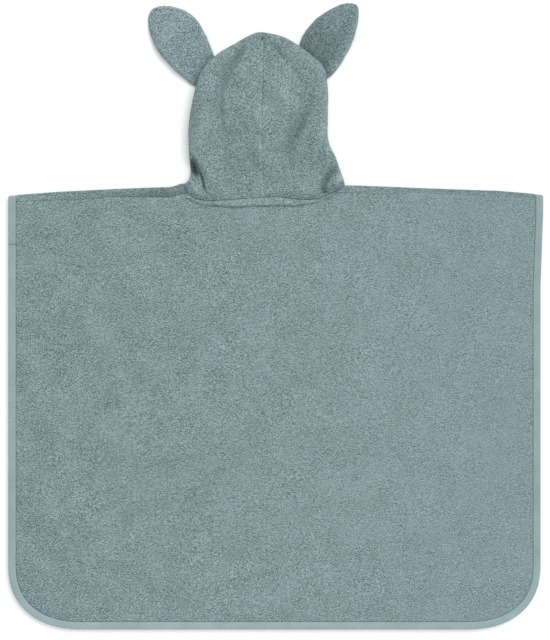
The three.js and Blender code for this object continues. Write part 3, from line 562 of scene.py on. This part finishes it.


# The cloth over each shoulder: how far it stands up between its fold and the seam, how far it sinks at
# the seam, the painted shade on it (painted light where under 0), the painted shade along its fold's
# top edge, and how much the seam's dip and its painted shade show
STRIP = {"x": [-340, -290, -230, -190, -160, -122, 80, 107, 150, 175, 340],
         "roll": [0, 0.5, 0.9, 1.6, 2, 1.2, 1, 1, 0.6, 0.2, 0.2],
         "sink": [0.4, 0.6, 1.2, 1.8, 2.2, 1.4, 0.6, 0.4, 0.3, 0, 0],
         "dark": [-0.04, 0, 0, 0.06, 0.24, 0.24, 0.1, -0.05, -0.07, 0, 0],
         "fold": [0.12, 0.14, 0.18, 0.24, 0.32, 0.32, 0.1, 0.18, 0.28, 0.34, 0.28],
         "seam": [0.4, 0.5, 0.7, 0.9, 1, 1, 1, 0.7, 0.2, 0, 0]}
SEAM_DIP = 0.9
SEAM_DIP_WIDTH = 2.2
FAR = 999

# Terry's tufts and the soft unevenness of cloth that lies flat
TUFT_RISE = 0.13
WAVE_RISE = 0.35


def terry(x, y, seed):
    tufts = 0.6 * noise(x, y, 2.6, seed) + 0.4 * noise(x + 0.4 * y, y - 0.4 * x, 4.7, seed + 1)
    return TUFT_RISE * tufts


def from_neck(p):
    """For each place: its distance from the neck seam, and how deep the stitched band is there."""
    near = p.shape[0] < 40 and p[..., 1].max() > 130
    distance = nearest(NECK_LINE, p[..., 0], p[..., 1])[0] if near else np.full(p.shape[:2], 99.0)
    return distance, read_smooth(BAND, p[..., 0], 8)


def below_seam(p):
    """How far each place is below the nearer shoulder seam."""
    x, y = p[..., 0], p[..., 1]
    left = np.where(x < BACK_NECK["x"][0] + 1, seam_y(-1, x), FAR)
    right = np.where(x > 90, seam_y(1, x), FAR)
    return np.where(x < SEAM_X, left, right) - y


def back_relief(p):
    x, y = p[..., 0], p[..., 1]
    distance, deep = from_neck(p)
    band = BAND_RISE * smooth(distance, 0.3, 3) * (1 - smooth(distance, deep - 2.2, deep))
    band = band * (1 + 0.3 * noise(x, y, 14, 13))
    stitch = -0.7 * np.exp(-((distance - deep) / 0.9) ** 2) * (1 + 0.6 * noise(x, y, 7, 14))
    pleats = -0.8 * np.exp(-((distance - 0.45 * deep) / 0.7) ** 2) * smooth(-x, 88, 98)
    dip = -SEAM_DIP * np.exp(-((below_seam(p) / SEAM_DIP_WIDTH) ** 2)) * read(STRIP, x, "seam")
    waves = WAVE_RISE * (noise(x, y, 60, 11) + 0.5 * noise(x, y, 26, 12))
    from_edges = smooth(np.minimum(np.minimum(x - LEFT_SIDE, RIGHT_SIDE - x), y - HEM_Y), 12, 60)
    return band + stitch + pleats + dip + waves * from_edges * smooth(y, 150, 120) + terry(x, y, 21)


# Painted shade along the neck seam, the band's stitch line and the shoulder seams, and painted light on the
# stitched band and on the pleats at its left end
def back_shade(p):
    distance, deep = from_neck(p)
    uneven = 1 + 0.7 * noise(p[..., 0], p[..., 1], 9, 15)
    seam = 0.2 * np.exp(-((distance / 1.1) ** 2)) * smooth(p[..., 0], -118, -95)
    stitch = 0.12 * np.exp(-(((distance - deep) / 0.9) ** 2))
    shoulder = 0.14 * np.exp(-((below_seam(p) / 0.8) ** 2)) * read(STRIP, p[..., 0], "seam")
    light = 0.06 * smooth(distance, 1.5, 3) * (1 - smooth(distance, deep - 2, deep))
    light = light + 0.14 * np.exp(-(((distance - 0.72 * deep) / 0.8) ** 2)) * smooth(-p[..., 0], 84, 98)
    return (seam + stitch + shoulder) * uneven - light


def back_panel():
    cloth = Cloth()
    height_at = lambda side, x: seam_y(side, x) - SHOULDER_GAP / 2
    top = panel_top(STRIP_ROWS, BODY_NECK_BACK, height_at)
    depths = [0, 0.7, 1.5, 2.4, 3.4, 4.6, 5.8, 7, 7.8, 8.6, 9.4, 10.2, 11, 11.7, 12.4, 13.2, 14.2, 16]
    panel(cloth, top, height_at, CLOTH / 2 + LAYER_STEP, 1, depths, back_relief, back_shade)
    return cloth.piece("back_cloth")


def front_panel():
    cloth = Cloth()
    height_at = lambda side, x: fold_y(side, x) - FOLD_RADIUS
    top = panel_top(0, BODY_NECK_FRONT, height_at)
    panel(cloth, top, height_at, CLOTH / 2, -1, [0], *[lambda p: 0 * p[..., 0]] * 2)
    for side in SIDES:
        outer, inner, shades = [], [], []
        for row in range(STRIP_ROWS + 1):
            x, thick = strip_columns(side, row)
            reach = strip_reach(side, x, row)
            full = (thick - EDGE_CLOTH) / (CLOTH - EDGE_CLOTH)
            share = np.clip((reach + HALF_TURN) / (seam_drop(side, x) + HALF_TURN), 0, 1)
            roll = read_smooth(STRIP, x, 10, column="roll") * np.sin(math.pi * share ** 0.8) ** 2
            sink = read_smooth(STRIP, x, 10, column="sink") * smooth(share, 0.45, 1)
            rise = (terry(x, reach, 31) * smooth(row, 1, TURN_STEPS) + roll - sink) * full
            # Painted shade on the strip, painted light where the table is under 0, and painted shade along
            # the fold's top edge
            dark = read_smooth(STRIP, x, 10, column="dark") * smooth(share, 0.25, 0.6)
            dark = dark + read_smooth(STRIP, x, 10, column="fold") * np.exp(-(((reach - 1.2) / 2.2) ** 2))
            shades.append(dark * full)
            outer.append(on_fold(x, fold_y(side, x), reach, thick / 2 + rise))
            inner.append(on_fold(x, fold_y(side, x), reach, -thick / 2))
        step = 1 if side < 0 else -1
        cloth.patch(np.array(outer)[:, ::step], np.array(inner)[:, ::step], np.array(shades)[:, ::step])
    return cloth.piece("front_cloth")


# The folded tape over the body's edge
TAPE_OUTER = {"inset": [10, 8.6, 7, 5, 3, 1.7, 1.0, 0.45, 0.12, 0, 0.12, 0.45, 1.0, 1.7, 3, 5, 7, 8.6, 10],
              "height": [0.8, 0.93, 1, 1, 1, 1, 0.9, 0.7, 0.38, 0,
                         -0.38, -0.7, -0.9, -1, -1, -1, -1, -1, -1]}
TAPE_INNER = {"inset": [10, 8.6, 7, 5, 3, 1.7, 1.5, 1.25, 1.06, 1, 1.06, 1.25, 1.5, 1.7, 3, 5, 7, 8.6, 10],
              "height": [0.8, 0.93, 1, 1, 1, 1, 0.86, 0.6, 0.3, 0,
                         -0.3, -0.6, -0.86, -1, -1, -1, -1, -1, -1]}


def edge_binding():
    half = CLOTH / 2
    profile = [(np.array(TAPE_OUTER["inset"], float), np.array(TAPE_OUTER["height"]) * half),
               (np.array(TAPE_INNER["inset"], float), np.array(TAPE_INNER["height"]) * (half - TAPE_WALL))]

    def flat(line, inward, up):
        for at, into in zip(line, inward):
            z = (LAYER_STEP if up > 0 else 0) + half
            for k, (inset, height) in enumerate(profile):
                p = at + inset[:, None] * into
                faces[k].append(np.column_stack([p, z + up * height]))

    def over(side, rows):
        for row in rows:
            for k, (inset, height) in enumerate(profile):
                x = float(side_x(side, FLARE_END_Y)) - side * inset
                faces[k].append(on_fold(x, fold_y(side, x), strip_reach(side, x, row), height))

    start = {s: float(fold_y(s, side_x(s, FLARE_END_Y))) - FOLD_RADIUS - 2 * GAP for s in SIDES}
    faces = [[], []]
    flat(*bound_edge(np.array([JOIN_Y]), np.array([start[1]]), TAPE_HEM_STEPS), 1)
    over(1, range(TURN_STEPS, -1, -1))
    line, inward = bound_edge(np.array([start[-1]]), np.array([start[1]]), TAPE_HEM_STEPS)
    flat(line[::-1], inward[::-1], -1)
    over(-1, range(TURN_STEPS + 1))
    down = np.linspace(start[-1], JOIN_Y + GAP, TAPE_END_STEPS + 1)
    flat(np.column_stack([np.full(len(down), LEFT_SIDE), down]), np.tile([1.0, 0.0], (len(down), 1)), 1)
    outer, inner = map(np.array, faces)
    cloth = Cloth()
    # The tape along the hem is painted lighter: painted light
    cloth.patch(outer, inner, -0.08 * smooth(-outer[..., 1], 320, 400))
    return cloth.piece("edge_tape")


# Thread stitches
STITCH_PITCH = 3.2
STITCH_LENGTH = 2.4
THREAD = 0.28
STITCH_RINGS = {"along": [0, 0.12, 0.35, 0.65, 0.88, 1], "thick": [0.3, 0.8, 1, 1, 0.8, 0.3],
                "sink": [1, 0.45, 0.1, 0.1, 0.45, 1]}
STITCH_SIDES = 6


def stitches(name, runs):
    """Short threads lying end to end along lines of points."""
    vertices, faces = [], []
    angles = np.linspace(0, 2 * math.pi, STITCH_SIDES, endpoint=False)
    ring = np.array([(math.cos(a), math.sin(a)) for a in angles])
    for run in runs:
        count = int(np.linalg.norm(np.diff(run, axis=0), axis=1).sum() / STITCH_PITCH)
        line = spaced(run, count)
        for a, b in zip(line[:-1], line[1:]):
            along = (b - a) / np.linalg.norm(b - a)
            across = np.array([-along[1], along[0], 0])
            first = len(vertices)
            for t, thick, sink in zip(*STITCH_RINGS.values()):
                middle = a + along * (t * STITCH_LENGTH) - np.array([0, 0, sink * THREAD])
                for u, v in ring * THREAD * thick:
                    vertices.append(middle + across * u + np.array([0, 0, v]))
            for r in range(len(STITCH_RINGS["along"]) - 1):
                low, high = first + r * STITCH_SIDES, first + (r + 1) * STITCH_SIDES
                for k in range(STITCH_SIDES):
                    after = (k + 1) % STITCH_SIDES
                    faces.append([low + k, low + after, high + after, high + k])
            faces.append([first + k for k in range(STITCH_SIDES)][::-1])
            faces.append([len(vertices) - STITCH_SIDES + k for k in range(STITCH_SIDES)])
    return solid(name, vertices, faces, np.zeros(len(vertices)))


def tape_stitches():
    start = {s: float(fold_y(s, side_x(s, FLARE_END_Y))) - FOLD_RADIUS - 2 * GAP for s in SIDES}
    line, inward = bound_edge(np.array([start[-1]]), np.array([start[1]]), TAPE_HEM_STEPS)
    p = line + TAPE_STITCH_INSET * inward
    return stitches("tape_stitches", [np.column_stack([p, np.full(len(p), TOP_OF_BACK - 0.12)])])


def band_stitches():
    deep = read_smooth(BAND, NECK_LINE[:, 0], 8)[:, None]
    p = (NECK_LINE - deep * sideways(NECK_LINE))[(NECK_LINE[:, 0] > -104) & (NECK_LINE[:, 0] < 52)]
    return stitches("band_stitches", [np.column_stack([p, np.full(len(p), TOP_OF_BACK - 0.3)])])


CREASE_LINES = {name: spaced(curve(row, 20), 24) for name, row in CREASES.items()}
NECK_COARSE = NECK_LINE[::2]


# The hood's middle seam: a painted highlight on its left and along the fell beside it, and on its right a
# painted highlight low down and a painted shadow that fades lower down
SEAM_LINE = {"left_light": 0.45, "left_more": 0.1, "right_light": 0.14, "right_shadow": 0.22,
             "fell_light": 0.12, "turns_at": (238, 262)}


def line_at(distance, centre, width):
    """1 on a line at that distance, falling softly to 0 beside it."""
    return np.exp(-(((distance - centre) / width) ** 2))


def seam_shift(y):
    return read_smooth(SEAM_WANDER, y, 10, "y", "x")


def hood_form(x, y):
    """The hood's height at each place, and the painted shade in its creases there (painted light where under
    0).
    """
    distance, _, _ = nearest(NECK_COARSE, x, y)
    opened = smooth(distance, 0, NECK_SLOPE)
    creased = smooth(distance, 1, CREASE_START)
    middle = read_smooth(HOOD_HEIGHT, y, 6, "y", "middle")
    side = read_smooth(HOOD_HEIGHT, y, 6, "y", "side")
    height = middle + (side - middle) * smooth(np.abs(x - SEAM_X), 0, HOOD_HALF_WIDTH)
    height = TOP_OF_BACK + (height - TOP_OF_BACK) * opened
    height = height + (0.7 * noise(x, y, 24, 61) + 0.3 * noise(x, y, 11, 62)) * creased
    dark = 0 * height
    for name, line in CREASE_LINES.items():
        row = CREASES[name]
        away, share, left = nearest(line, x, y)
        width = np.where(left > 0, row["east"], row["west"])
        taper = np.sin(math.pi * np.clip(share, 0.02, 0.98)) ** 0.6
        form = np.exp(-((away / width) ** 2)) * taper * creased
        height = height + row["rise"] * form
        # Painted shade, or painted light, along each crease
        dark = dark + row.get("dark", 0) * form
    return np.where(distance < 1, TOP_OF_BACK, np.maximum(height, LOWEST_FOLD)), np.minimum(dark, DARKEST_PAINTED_SHADE)


def hood_height(x, y):
    return hood_form(x, y)[0]


def hood_half(side, name):
    at = spaced(curve(HOOD_LEFT if side < 0 else HOOD_RIGHT, 60), HOOD_ROWS)
    inward = sideways(at) * side
    inward[-1] = (0, -1)
    seam_x = SEAM_X + side * SEAM_GAP / 2
    at[-1, 0] = seam_x
    neck, under = BACK_HALF[side], FRONT_HALF[side]
    share = np.linspace(0, 1, HOOD_ROWS + 1)
    roll = read(SIDE_ROLL, share)[:, None]
    rolls = []
    for line in (neck, under):
        direction = (line[1] - line[0]) / np.linalg.norm(line[1] - line[0])
        inner = at + roll * inward
        inner[0] = at[0] + FOLD_RADIUS * direction
        rolls.append(inner)
    progress = (at[:, 1] - at[0, 1]) / (at[-1, 1] - at[0, 1])
    face_y = under[-1, 1] + (FOREHEAD_Y - under[-1, 1]) * progress
    curl = np.clip((face_y - FOREHEAD_Y + FOREHEAD_ROUND) / FOREHEAD_ROUND, 0, 1)
    seam_at = neck[-1, 1] + (at[-1, 1] - roll[-1, 0] - neck[-1, 1]) * progress
    seam = np.column_stack([seam_x + seam_shift(seam_at), seam_at])
    face = np.column_stack([seam_x + side * (FACE_GAP - SEAM_GAP) / 2 * np.sqrt(1 - curl**2), face_y])
    crown = np.repeat(rolls[0][-1:], HOOD_COLUMNS + 1, 0)
    upper = between(neck[1:][::-1], crown, seam, rolls[0], SEAM_CROWDING)
    lower = between(under[1:], spaced(np.vstack([rolls[1][-1], face[-1]]), UNDER_COLUMNS), rolls[1], face)
    top_z = hood_height(upper[..., 0], upper[..., 1])
    half_height = hood_height(rolls[0][:, 0], rolls[0][:, 1])[:, None] / 2
    angle = np.linspace(0, math.pi / 2, HOOD_TURN_STEPS + 1)[None, 1:]
    out = rolls[0][:, None] + (at - rolls[0])[:, None] * np.sin(angle)[..., None]
    out_z = half_height + (hood_height(out[..., 0], out[..., 1]) - half_height) * np.cos(angle)
    back = at[:, None] + (rolls[1] - at)[:, None] * (1 - np.cos(angle))[..., None]
    back_z = half_height * (1 - np.sin(angle))
    grid = np.concatenate([np.dstack([upper, top_z]), np.dstack([out, out_z]), np.dstack([back, back_z]),
                           np.dstack([lower[:, 1:], np.zeros(lower.shape[:2])[:, 1:]])], axis=1)
    normal = grid_normals(grid) * side
    turn = HOOD_COLUMNS + 2 * HOOD_TURN_STEPS
    normal[0, :HOOD_COLUMNS + 1] = (0, 0, 1)
    normal[0, turn:] = (0, 0, -1)
    for columns, line in ((slice(HOOD_COLUMNS + 1, HOOD_COLUMNS + HOOD_TURN_STEPS + 1), neck),
                          (slice(HOOD_COLUMNS + HOOD_TURN_STEPS + 1, turn), under)):
        along = (line[1] - line[0]) / np.linalg.norm(line[1] - line[0])
        across = np.array([-along[1], along[0], 0])
        normal[0, columns] -= (normal[0, columns] @ across)[:, None] * across
    normal[:, 0, 0] = 0
    normal[-1, :, 0] = 0
    normal[-1, :HOOD_COLUMNS + 1] = normal[-1, HOOD_COLUMNS]
    normal /= np.linalg.norm(normal, axis=2, keepdims=True)
    inner = grid - HOOD_WALL * normal
    free = smooth(grid[..., 2], 1, 5) * smooth(np.arange(HOOD_ROWS + 1), 0, 4)[:, None]
    fan = smooth(HOOD_ROWS - np.arange(HOOD_ROWS + 1), 0, 8)[:, None]
    tufts = terry(grid[..., 0], grid[..., 1] + 0.8 * grid[..., 2], 41) * free * fan
    beside = np.abs(grid[..., 0] - seam_x - seam_shift(grid[..., 1]))
    beside = np.hypot(beside, np.maximum(grid[..., 1] - seam[-1, 1], 0))
    groove = -(0.35 if side < 0 else 0.45) * np.exp(-((beside / 1.5) ** 2))
    shown = (grid[..., 2] > 6) * smooth(grid[..., 1] - neck[-1, 1], 0, 6)
    groove = groove * shown
    outer = grid + (tufts + groove)[..., None] * normal
    above = np.arange(grid.shape[1]) <= HOOD_COLUMNS + HOOD_TURN_STEPS
    # Painted highlight and painted shadow along the middle seam
    high = smooth(grid[..., 1], *SEAM_LINE["turns_at"])
    if side < 0:
        strength = SEAM_LINE["left_light"] + SEAM_LINE["left_more"] * high
        fell = np.exp(-(((beside - FELL) / 1.0) ** 2)) * smooth(grid[..., 1], 265, 240)
        light = strength * line_at(beside, 0, 1.3) + SEAM_LINE["fell_light"] * fell
    else:
        light = SEAM_LINE["right_light"] * (1 - high) * line_at(beside, 0, 1.3)
        light = light - SEAM_LINE["right_shadow"] * line_at(beside, 1.4, 1.2) * high
    light = light * shown * (0.8 + 0.4 * noise(grid[..., 0] * 0, grid[..., 1], 9, 71))
    cloth = Cloth()
    cloth.patch(outer, inner, hood_form(grid[..., 0], grid[..., 1])[1] * above - light)
    return cloth.piece(name)


def grid_normals(grid):
    across = np.gradient(grid, axis=1)
    upward = np.gradient(grid, axis=0)
    normal = np.cross(upward, across)
    length = np.linalg.norm(normal, axis=2, keepdims=True)
    return -normal / np.maximum(length, 1e-9)


def ear_layer(name, layer, label):
    ear = EARS[name]
    side = -1 if name == "left" else 1
    outline = spaced(curve(HOOD_LEFT if side < 0 else HOOD_RIGHT, 60), 200)
    angle = math.radians(ear["angle"])
    direction = np.array([math.cos(angle), math.sin(angle)])
    leftward = np.array([-direction[1], direction[0]])
    root = np.array(ear["root"])

    def spot(along, across):
        return root + np.asarray(along)[..., None] * direction + np.asarray(across)[..., None] * leftward

    def outside(p):
        distance, _, left = nearest(outline, p[..., 0], p[..., 1])
        return distance * np.sign(left) * -side

    share = np.linspace(0, 1, EAR_ROW_COUNT + 1)[:, None]
    u = np.sin(np.linspace(-1, 1, EAR_COLUMNS + 1) * math.pi / 2)[None, :]
    half = np.where(u > 0, read(ear, share, "left", "along"), read(ear, share, "right", "along"))
    search = np.arange(-30, 20, 0.1)
    roots = []
    for across in (u * half[:1])[0]:
        out = outside(spot(search, np.full(search.shape, across)))
        roots.append(search[np.argmax(out >= -ear["tuck"])])
    tuck = np.array(roots)[None, :] * (1 - smooth(share, 0, EAR_ROOT_BLEND))
    p = spot(share * ear["length"] + tuck, u * half)
    rim = np.minimum(half * (1 - np.abs(u)), ear["length"] * (1 - share))
    full = EAR_EDGE_CLOTH + (EAR_CLOTH - EAR_EDGE_CLOTH) * smooth(rim, 0, EAR_RIM)
    thick = EAR_ROOT_CLOTH + (full - EAR_ROOT_CLOTH) * smooth(outside(p), -ear["tuck"], EAR_ROOT_SPREAD)
    rise = read_smooth(ear["arch"], share, 0.04) * (1 - EAR_DROOP * u**2)
    bottom = rise + layer * (thick + GAP)
    tufts = layer * terry(p[..., 0], p[..., 1], 51) * smooth(rim, 0, 3) * smooth(outside(p), 1, 8)
    # Painted shade near each ear's root, where it lies under the hood's edge, and painted light on one flank
    if name == "left":
        light = 0.05 * smooth(u, 0.2, 0.9) * smooth(share, 0.1, 0.3)
        shade = 0.12 * (1 - smooth(outside(p), 0, 7)) - light
    else:
        light = 0.3 * smooth(-u, 0.45, 0.9) * smooth(share, 0, 0.15)
        shade = 0.07 * (1 - smooth(np.abs(share - 0.2), 0.05, 0.3)) - light
    cloth = Cloth()
    cloth.patch(np.dstack([p, bottom + thick + tufts]), np.dstack([p, bottom]), shade * layer)
    return cloth.piece(label)


# Materials
def srgb(r, g, b):
    return [(v / 255 / 12.92 if v <= 10 else ((v / 255 + 0.055) / 1.055) ** 2.4) for v in (r, g, b)] + [1]


class Shade:
    """A material with one Principled shader, and short ways to add its procedural nodes."""

    def __init__(self, name, roughness, specular, sheen):
        self.material = bpy.data.materials.new(name)
        self.material.use_nodes = True
        self.nodes, self.links = self.material.node_tree.nodes, self.material.node_tree.links
        self.shader = self.nodes["Principled BSDF"]
        self.shader.inputs["Roughness"].default_value = roughness
        self.shader.inputs["Specular IOR Level"].default_value = specular
        self.shader.inputs["Sheen Weight"].default_value = sheen
        self.shader.inputs["Sheen Roughness"].default_value = 0.5
        self.coords = self.nodes.new("ShaderNodeTexCoord").outputs["Object"]

    def put(self, value, socket):
        if hasattr(value, "links"):
            self.links.new(value, socket)
        else:
            socket.default_value = value

    def math(self, kind, a, b=0.0, c=0.0):
        node = self.nodes.new("ShaderNodeMath")
        node.operation = kind
        for value, socket in zip((a, b, c), node.inputs):
            self.put(value, socket)
        return node.outputs[0]

    def vector(self, kind, a, b):
        node = self.nodes.new("ShaderNodeVectorMath")
        node.operation = kind
        self.put(a, node.inputs[0])
        self.put(b, node.inputs[1])
        return node.outputs[0]

    def noise(self, where, scale, detail=0.0):
        node = self.nodes.new("ShaderNodeTexNoise")
        self.put(where, node.inputs["Vector"])
        node.inputs["Scale"].default_value = scale
        node.inputs["Detail"].default_value = detail
        return node.outputs["Fac"]

    def part(self, where, axis):
        node = self.nodes.new("ShaderNodeSeparateXYZ")
        self.put(where, node.inputs[0])
        return node.outputs[axis]

    def between(self, value, low, high, to_low, to_high):
        node = self.nodes.new("ShaderNodeMapRange")
        self.put(value, node.inputs["Value"])
        for name, number in zip(("From Min", "From Max", "To Min", "To Max"), (low, high, to_low, to_high)):
            self.put(number, node.inputs[name])
        return node.outputs["Result"]

    def colour(self, value, dark, light, shaded=False):
        node = self.nodes.new("ShaderNodeValToRGB")
        node.color_ramp.elements[0].color = dark
        node.color_ramp.elements[1].color = light
        self.put(value, node.inputs["Fac"])
        colour = node.outputs["Color"]
        # Painted shade from the mesh's shade attribute darkens the colour, and painted light lightens it
        # where that is under 0
        if shaded:
            shade = self.nodes.new("ShaderNodeAttribute")
            shade.attribute_name = "shade"
            scale = self.nodes.new("ShaderNodeVectorMath")
            scale.operation = "SCALE"
            self.put(colour, scale.inputs[0])
            self.put(self.math("SUBTRACT", 1, shade.outputs["Fac"]), scale.inputs["Scale"])
            colour = scale.outputs[0]
        self.put(colour, self.shader.inputs["Base Color"])

    def bump(self, height, strength, distance):
        node = self.nodes.new("ShaderNodeBump")
        node.inputs["Strength"].default_value = strength
        node.inputs["Distance"].default_value = distance
        self.put(height, node.inputs["Height"])
        self.put(node.outputs["Normal"], self.shader.inputs["Normal"])


# Terry's loops lie in short wavy rows. Sizes are for the shader's noise, as repeats to the metre
# along X, Y and Z, and a pitch is in millimetres.
ROW_PITCH = 2.1
ROW_LEAN = 0.6
ROW_BEND = {"repeats": (78, 16, 16), "reach": 11}
ROW_WAVER = {"repeats": (260, 50, 50), "reach": 1.8}
ROW_BREAKS = (560, 700, 700)
# The body's pair also paints its tone lighter towards the left, against the light from the right
BODY_CONTRAST = (1.6, 0.5)
HOOD_CONTRAST = (1.6, 1.6)


def terry_material(name, dark, light, contrast):
    """Terry loops as short wavy streaks, with their contrast at the body's left and right. The same pair
    sets the tone lighter where the contrast is higher, so the body is painted lighter towards its left,
    against the light from the right.
    """
    shade = Shade(name, 0.95, 0.1, 0.12)
    x, y, z = (shade.part(shade.coords, axis) for axis in "XYZ")
    place = shade.math("MULTIPLY_ADD", z, ROW_LEAN, y)
    for row in (ROW_BEND, ROW_WAVER):
        swing = shade.noise(shade.vector("MULTIPLY", shade.coords, row["repeats"]), 1, 0)
        swing = shade.math("MULTIPLY", shade.math("SUBTRACT", swing, 0.5), row["reach"] * MM)
        place = shade.math("ADD", place, swing)
    turn = shade.math("MULTIPLY", place, 2 * math.pi / (ROW_PITCH * MM))
    loops = []
    for kind, shift in (("SINE", 0), ("COSINE", 7)):
        where = shade.vector("MULTIPLY", shade.vector("ADD", shade.coords, (shift, shift, 0)), ROW_BREAKS)
        length = shade.math("SUBTRACT", shade.noise(where, 1, 0), 0.5)
        loops.append(shade.math("MULTIPLY", shade.math(kind, turn), length))
    loops = shade.math("ADD", *loops)
    specks = shade.math("SUBTRACT", shade.noise(shade.coords, 1050, 0), 0.5)
    loops = shade.math("MULTIPLY_ADD", specks, 0.9, loops)
    patches = shade.between(shade.noise(shade.coords, 34, 1), 0.3, 0.7, 0.65, 1.3)
    broad = shade.between(shade.noise(shade.coords, 11, 2), 0.3, 0.7, -0.025, 0.025)
    deep = shade.math("MULTIPLY", loops, patches)
    strength = shade.between(x, -0.3, 0.25, *contrast)
    deep = shade.math("MULTIPLY", deep, strength)
    # Painted light: the middle tone rises with the contrast, lighter towards the body's left
    middle = shade.math("MULTIPLY_ADD", strength, 0.155, 0.385)
    tone = shade.math("ADD", shade.math("MULTIPLY_ADD", deep, 3.2, middle), broad)
    shade.colour(tone, dark, light, shaded=True)
    shade.bump(deep, 0.7, 0.002)
    return shade.material


def tape_material():
    shade = Shade("woven_tape", 0.8, 0.2, 0.1)
    threads = shade.noise(shade.coords, 520, 1)
    broad = shade.noise(shade.coords, 40, 1)
    tone = shade.math("ADD", shade.math("MULTIPLY", threads, 0.6), shade.math("MULTIPLY", broad, 0.4))
    tone = shade.between(tone, 0.35, 0.65, 0, 1)
    shade.colour(tone, srgb(136, 156, 158), srgb(152, 173, 176), shaded=True)
    shade.bump(threads, 0.3, 0.0003)
    return shade.material


def thread_material(name, dark, light):
    shade = Shade(name, 0.6, 0.3, 0.1)
    twist = shade.noise(shade.vector("MULTIPLY", shade.coords, (1, 1, 0.4)), 2600, 1)
    shade.colour(shade.between(twist, 0.35, 0.65, 0, 1), dark, light)
    shade.bump(twist, 0.4, 0.0001)
    return shade.material


# The floor in metres, and the light: a wide sun from the upper right and an even sky, angles in degrees
FLOOR_HALF = 6.0
FLOOR_GREY = 0.95
FLOOR_GLOW = 0.13
SKY_STRENGTH = 0.7
SUN_STRENGTH = 1.55
SUN_WIDTH = 40
SUN_TILT = 32


def stage():
    size = FLOOR_HALF
    mesh = bpy.data.meshes.new("floor")
    corners = [(-size, -size, 0), (size, -size, 0), (size, size, 0), (-size, size, 0)]
    mesh.from_pydata(corners, [], [(0, 1, 2, 3)])
    floor = bpy.data.objects.new("floor", mesh)
    bpy.context.scene.collection.objects.link(floor)
    material = bpy.data.materials.new("floor_white")
    material.use_nodes = True
    shader = material.node_tree.nodes["Principled BSDF"]
    shader.inputs["Base Color"].default_value = (FLOOR_GREY, FLOOR_GREY, FLOOR_GREY, 1)
    shader.inputs["Roughness"].default_value = 1
    shader.inputs["Specular IOR Level"].default_value = 0
    shader.inputs["Emission Color"].default_value = (1, 1, 1, 1)
    shader.inputs["Emission Strength"].default_value = FLOOR_GLOW
    mesh.materials.append(material)

    world = bpy.data.worlds.new("studio")
    world.use_nodes = True
    world.node_tree.nodes["Background"].inputs["Color"].default_value = (1, 1, 1, 1)
    world.node_tree.nodes["Background"].inputs["Strength"].default_value = SKY_STRENGTH
    bpy.context.scene.world = world

    key = bpy.data.lights.new("key", "SUN")
    key.angle = math.radians(SUN_WIDTH)
    key.energy = SUN_STRENGTH
    key_object = bpy.data.objects.new("key", key)
    key_object.rotation_euler = (-math.radians(SUN_TILT), math.radians(SUN_TILT), 0)
    bpy.context.scene.collection.objects.link(key_object)
    bpy.context.scene.view_settings.view_transform = "Standard"


VIEW_CENTRE = (-1.05, -4.95)
VIEW_HEIGHT = 842.8
LENS = 90
SENSOR = 36


def camera():
    data = bpy.data.cameras.new("camera")
    data.lens = LENS
    data.sensor_width = SENSOR
    data.clip_end = 20
    eye = bpy.data.objects.new("camera", data)
    distance = VIEW_HEIGHT * LENS / SENSOR + FOLD_RADIUS
    eye.location = (VIEW_CENTRE[0] * MM, VIEW_CENTRE[1] * MM, distance * MM)
    bpy.context.scene.collection.objects.link(eye)
    bpy.context.scene.camera = eye


camera()
stage()
BODY_TERRY = terry_material("terry_body", srgb(88, 110, 112), srgb(168, 191, 193), BODY_CONTRAST)
# The ears' terry comes in a lit copy, painted lighter, for the left ear and a shaded copy, painted darker,
# for the right ear
LIT_LEFT_EAR_TERRY = terry_material("terry_left_ear_lit", srgb(92, 113, 116), srgb(176, 199, 203), HOOD_CONTRAST)
SHADED_RIGHT_EAR_TERRY = terry_material("terry_right_ear_shaded", srgb(76, 97, 99), srgb(155, 178, 181), HOOD_CONTRAST)
HOOD_TERRY = terry_material("terry_hood", srgb(82, 104, 106), srgb(172, 196, 198), HOOD_CONTRAST)
TAPE = tape_material()
TAPE_THREAD = thread_material("tape_thread", srgb(158, 178, 181), srgb(176, 197, 200))
BAND_THREAD = thread_material("band_thread", srgb(96, 116, 118), srgb(124, 146, 148))


def finish_piece(piece, node, material):
    piece.data.materials.append(material)
    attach(piece, "root")
    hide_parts(node)
    return piece


back = finish_piece(back_panel(), "back_panel", BODY_TERRY)
front = finish_piece(front_panel(), "front_panel", BODY_TERRY)
tape = finish_piece(edge_binding(), "edge_binding", TAPE)
tape_threads = finish_piece(tape_stitches(), "edge_binding", TAPE_THREAD)
band_threads = finish_piece(band_stitches(), "back_panel", BAND_THREAD)
for side, name in ((-1, "hood_left"), (1, "hood_right")):
    hood = finish_piece(hood_half(side, name + "_cloth"), name, HOOD_TERRY)
for name, material in (("left", LIT_LEFT_EAR_TERRY), ("right", SHADED_RIGHT_EAR_TERRY)):
    for layer, word in enumerate(("front", "back")):
        label = f"ear_{name}_{word}"
        finish_piece(ear_layer(name, layer, label + "_cloth"), label, material)
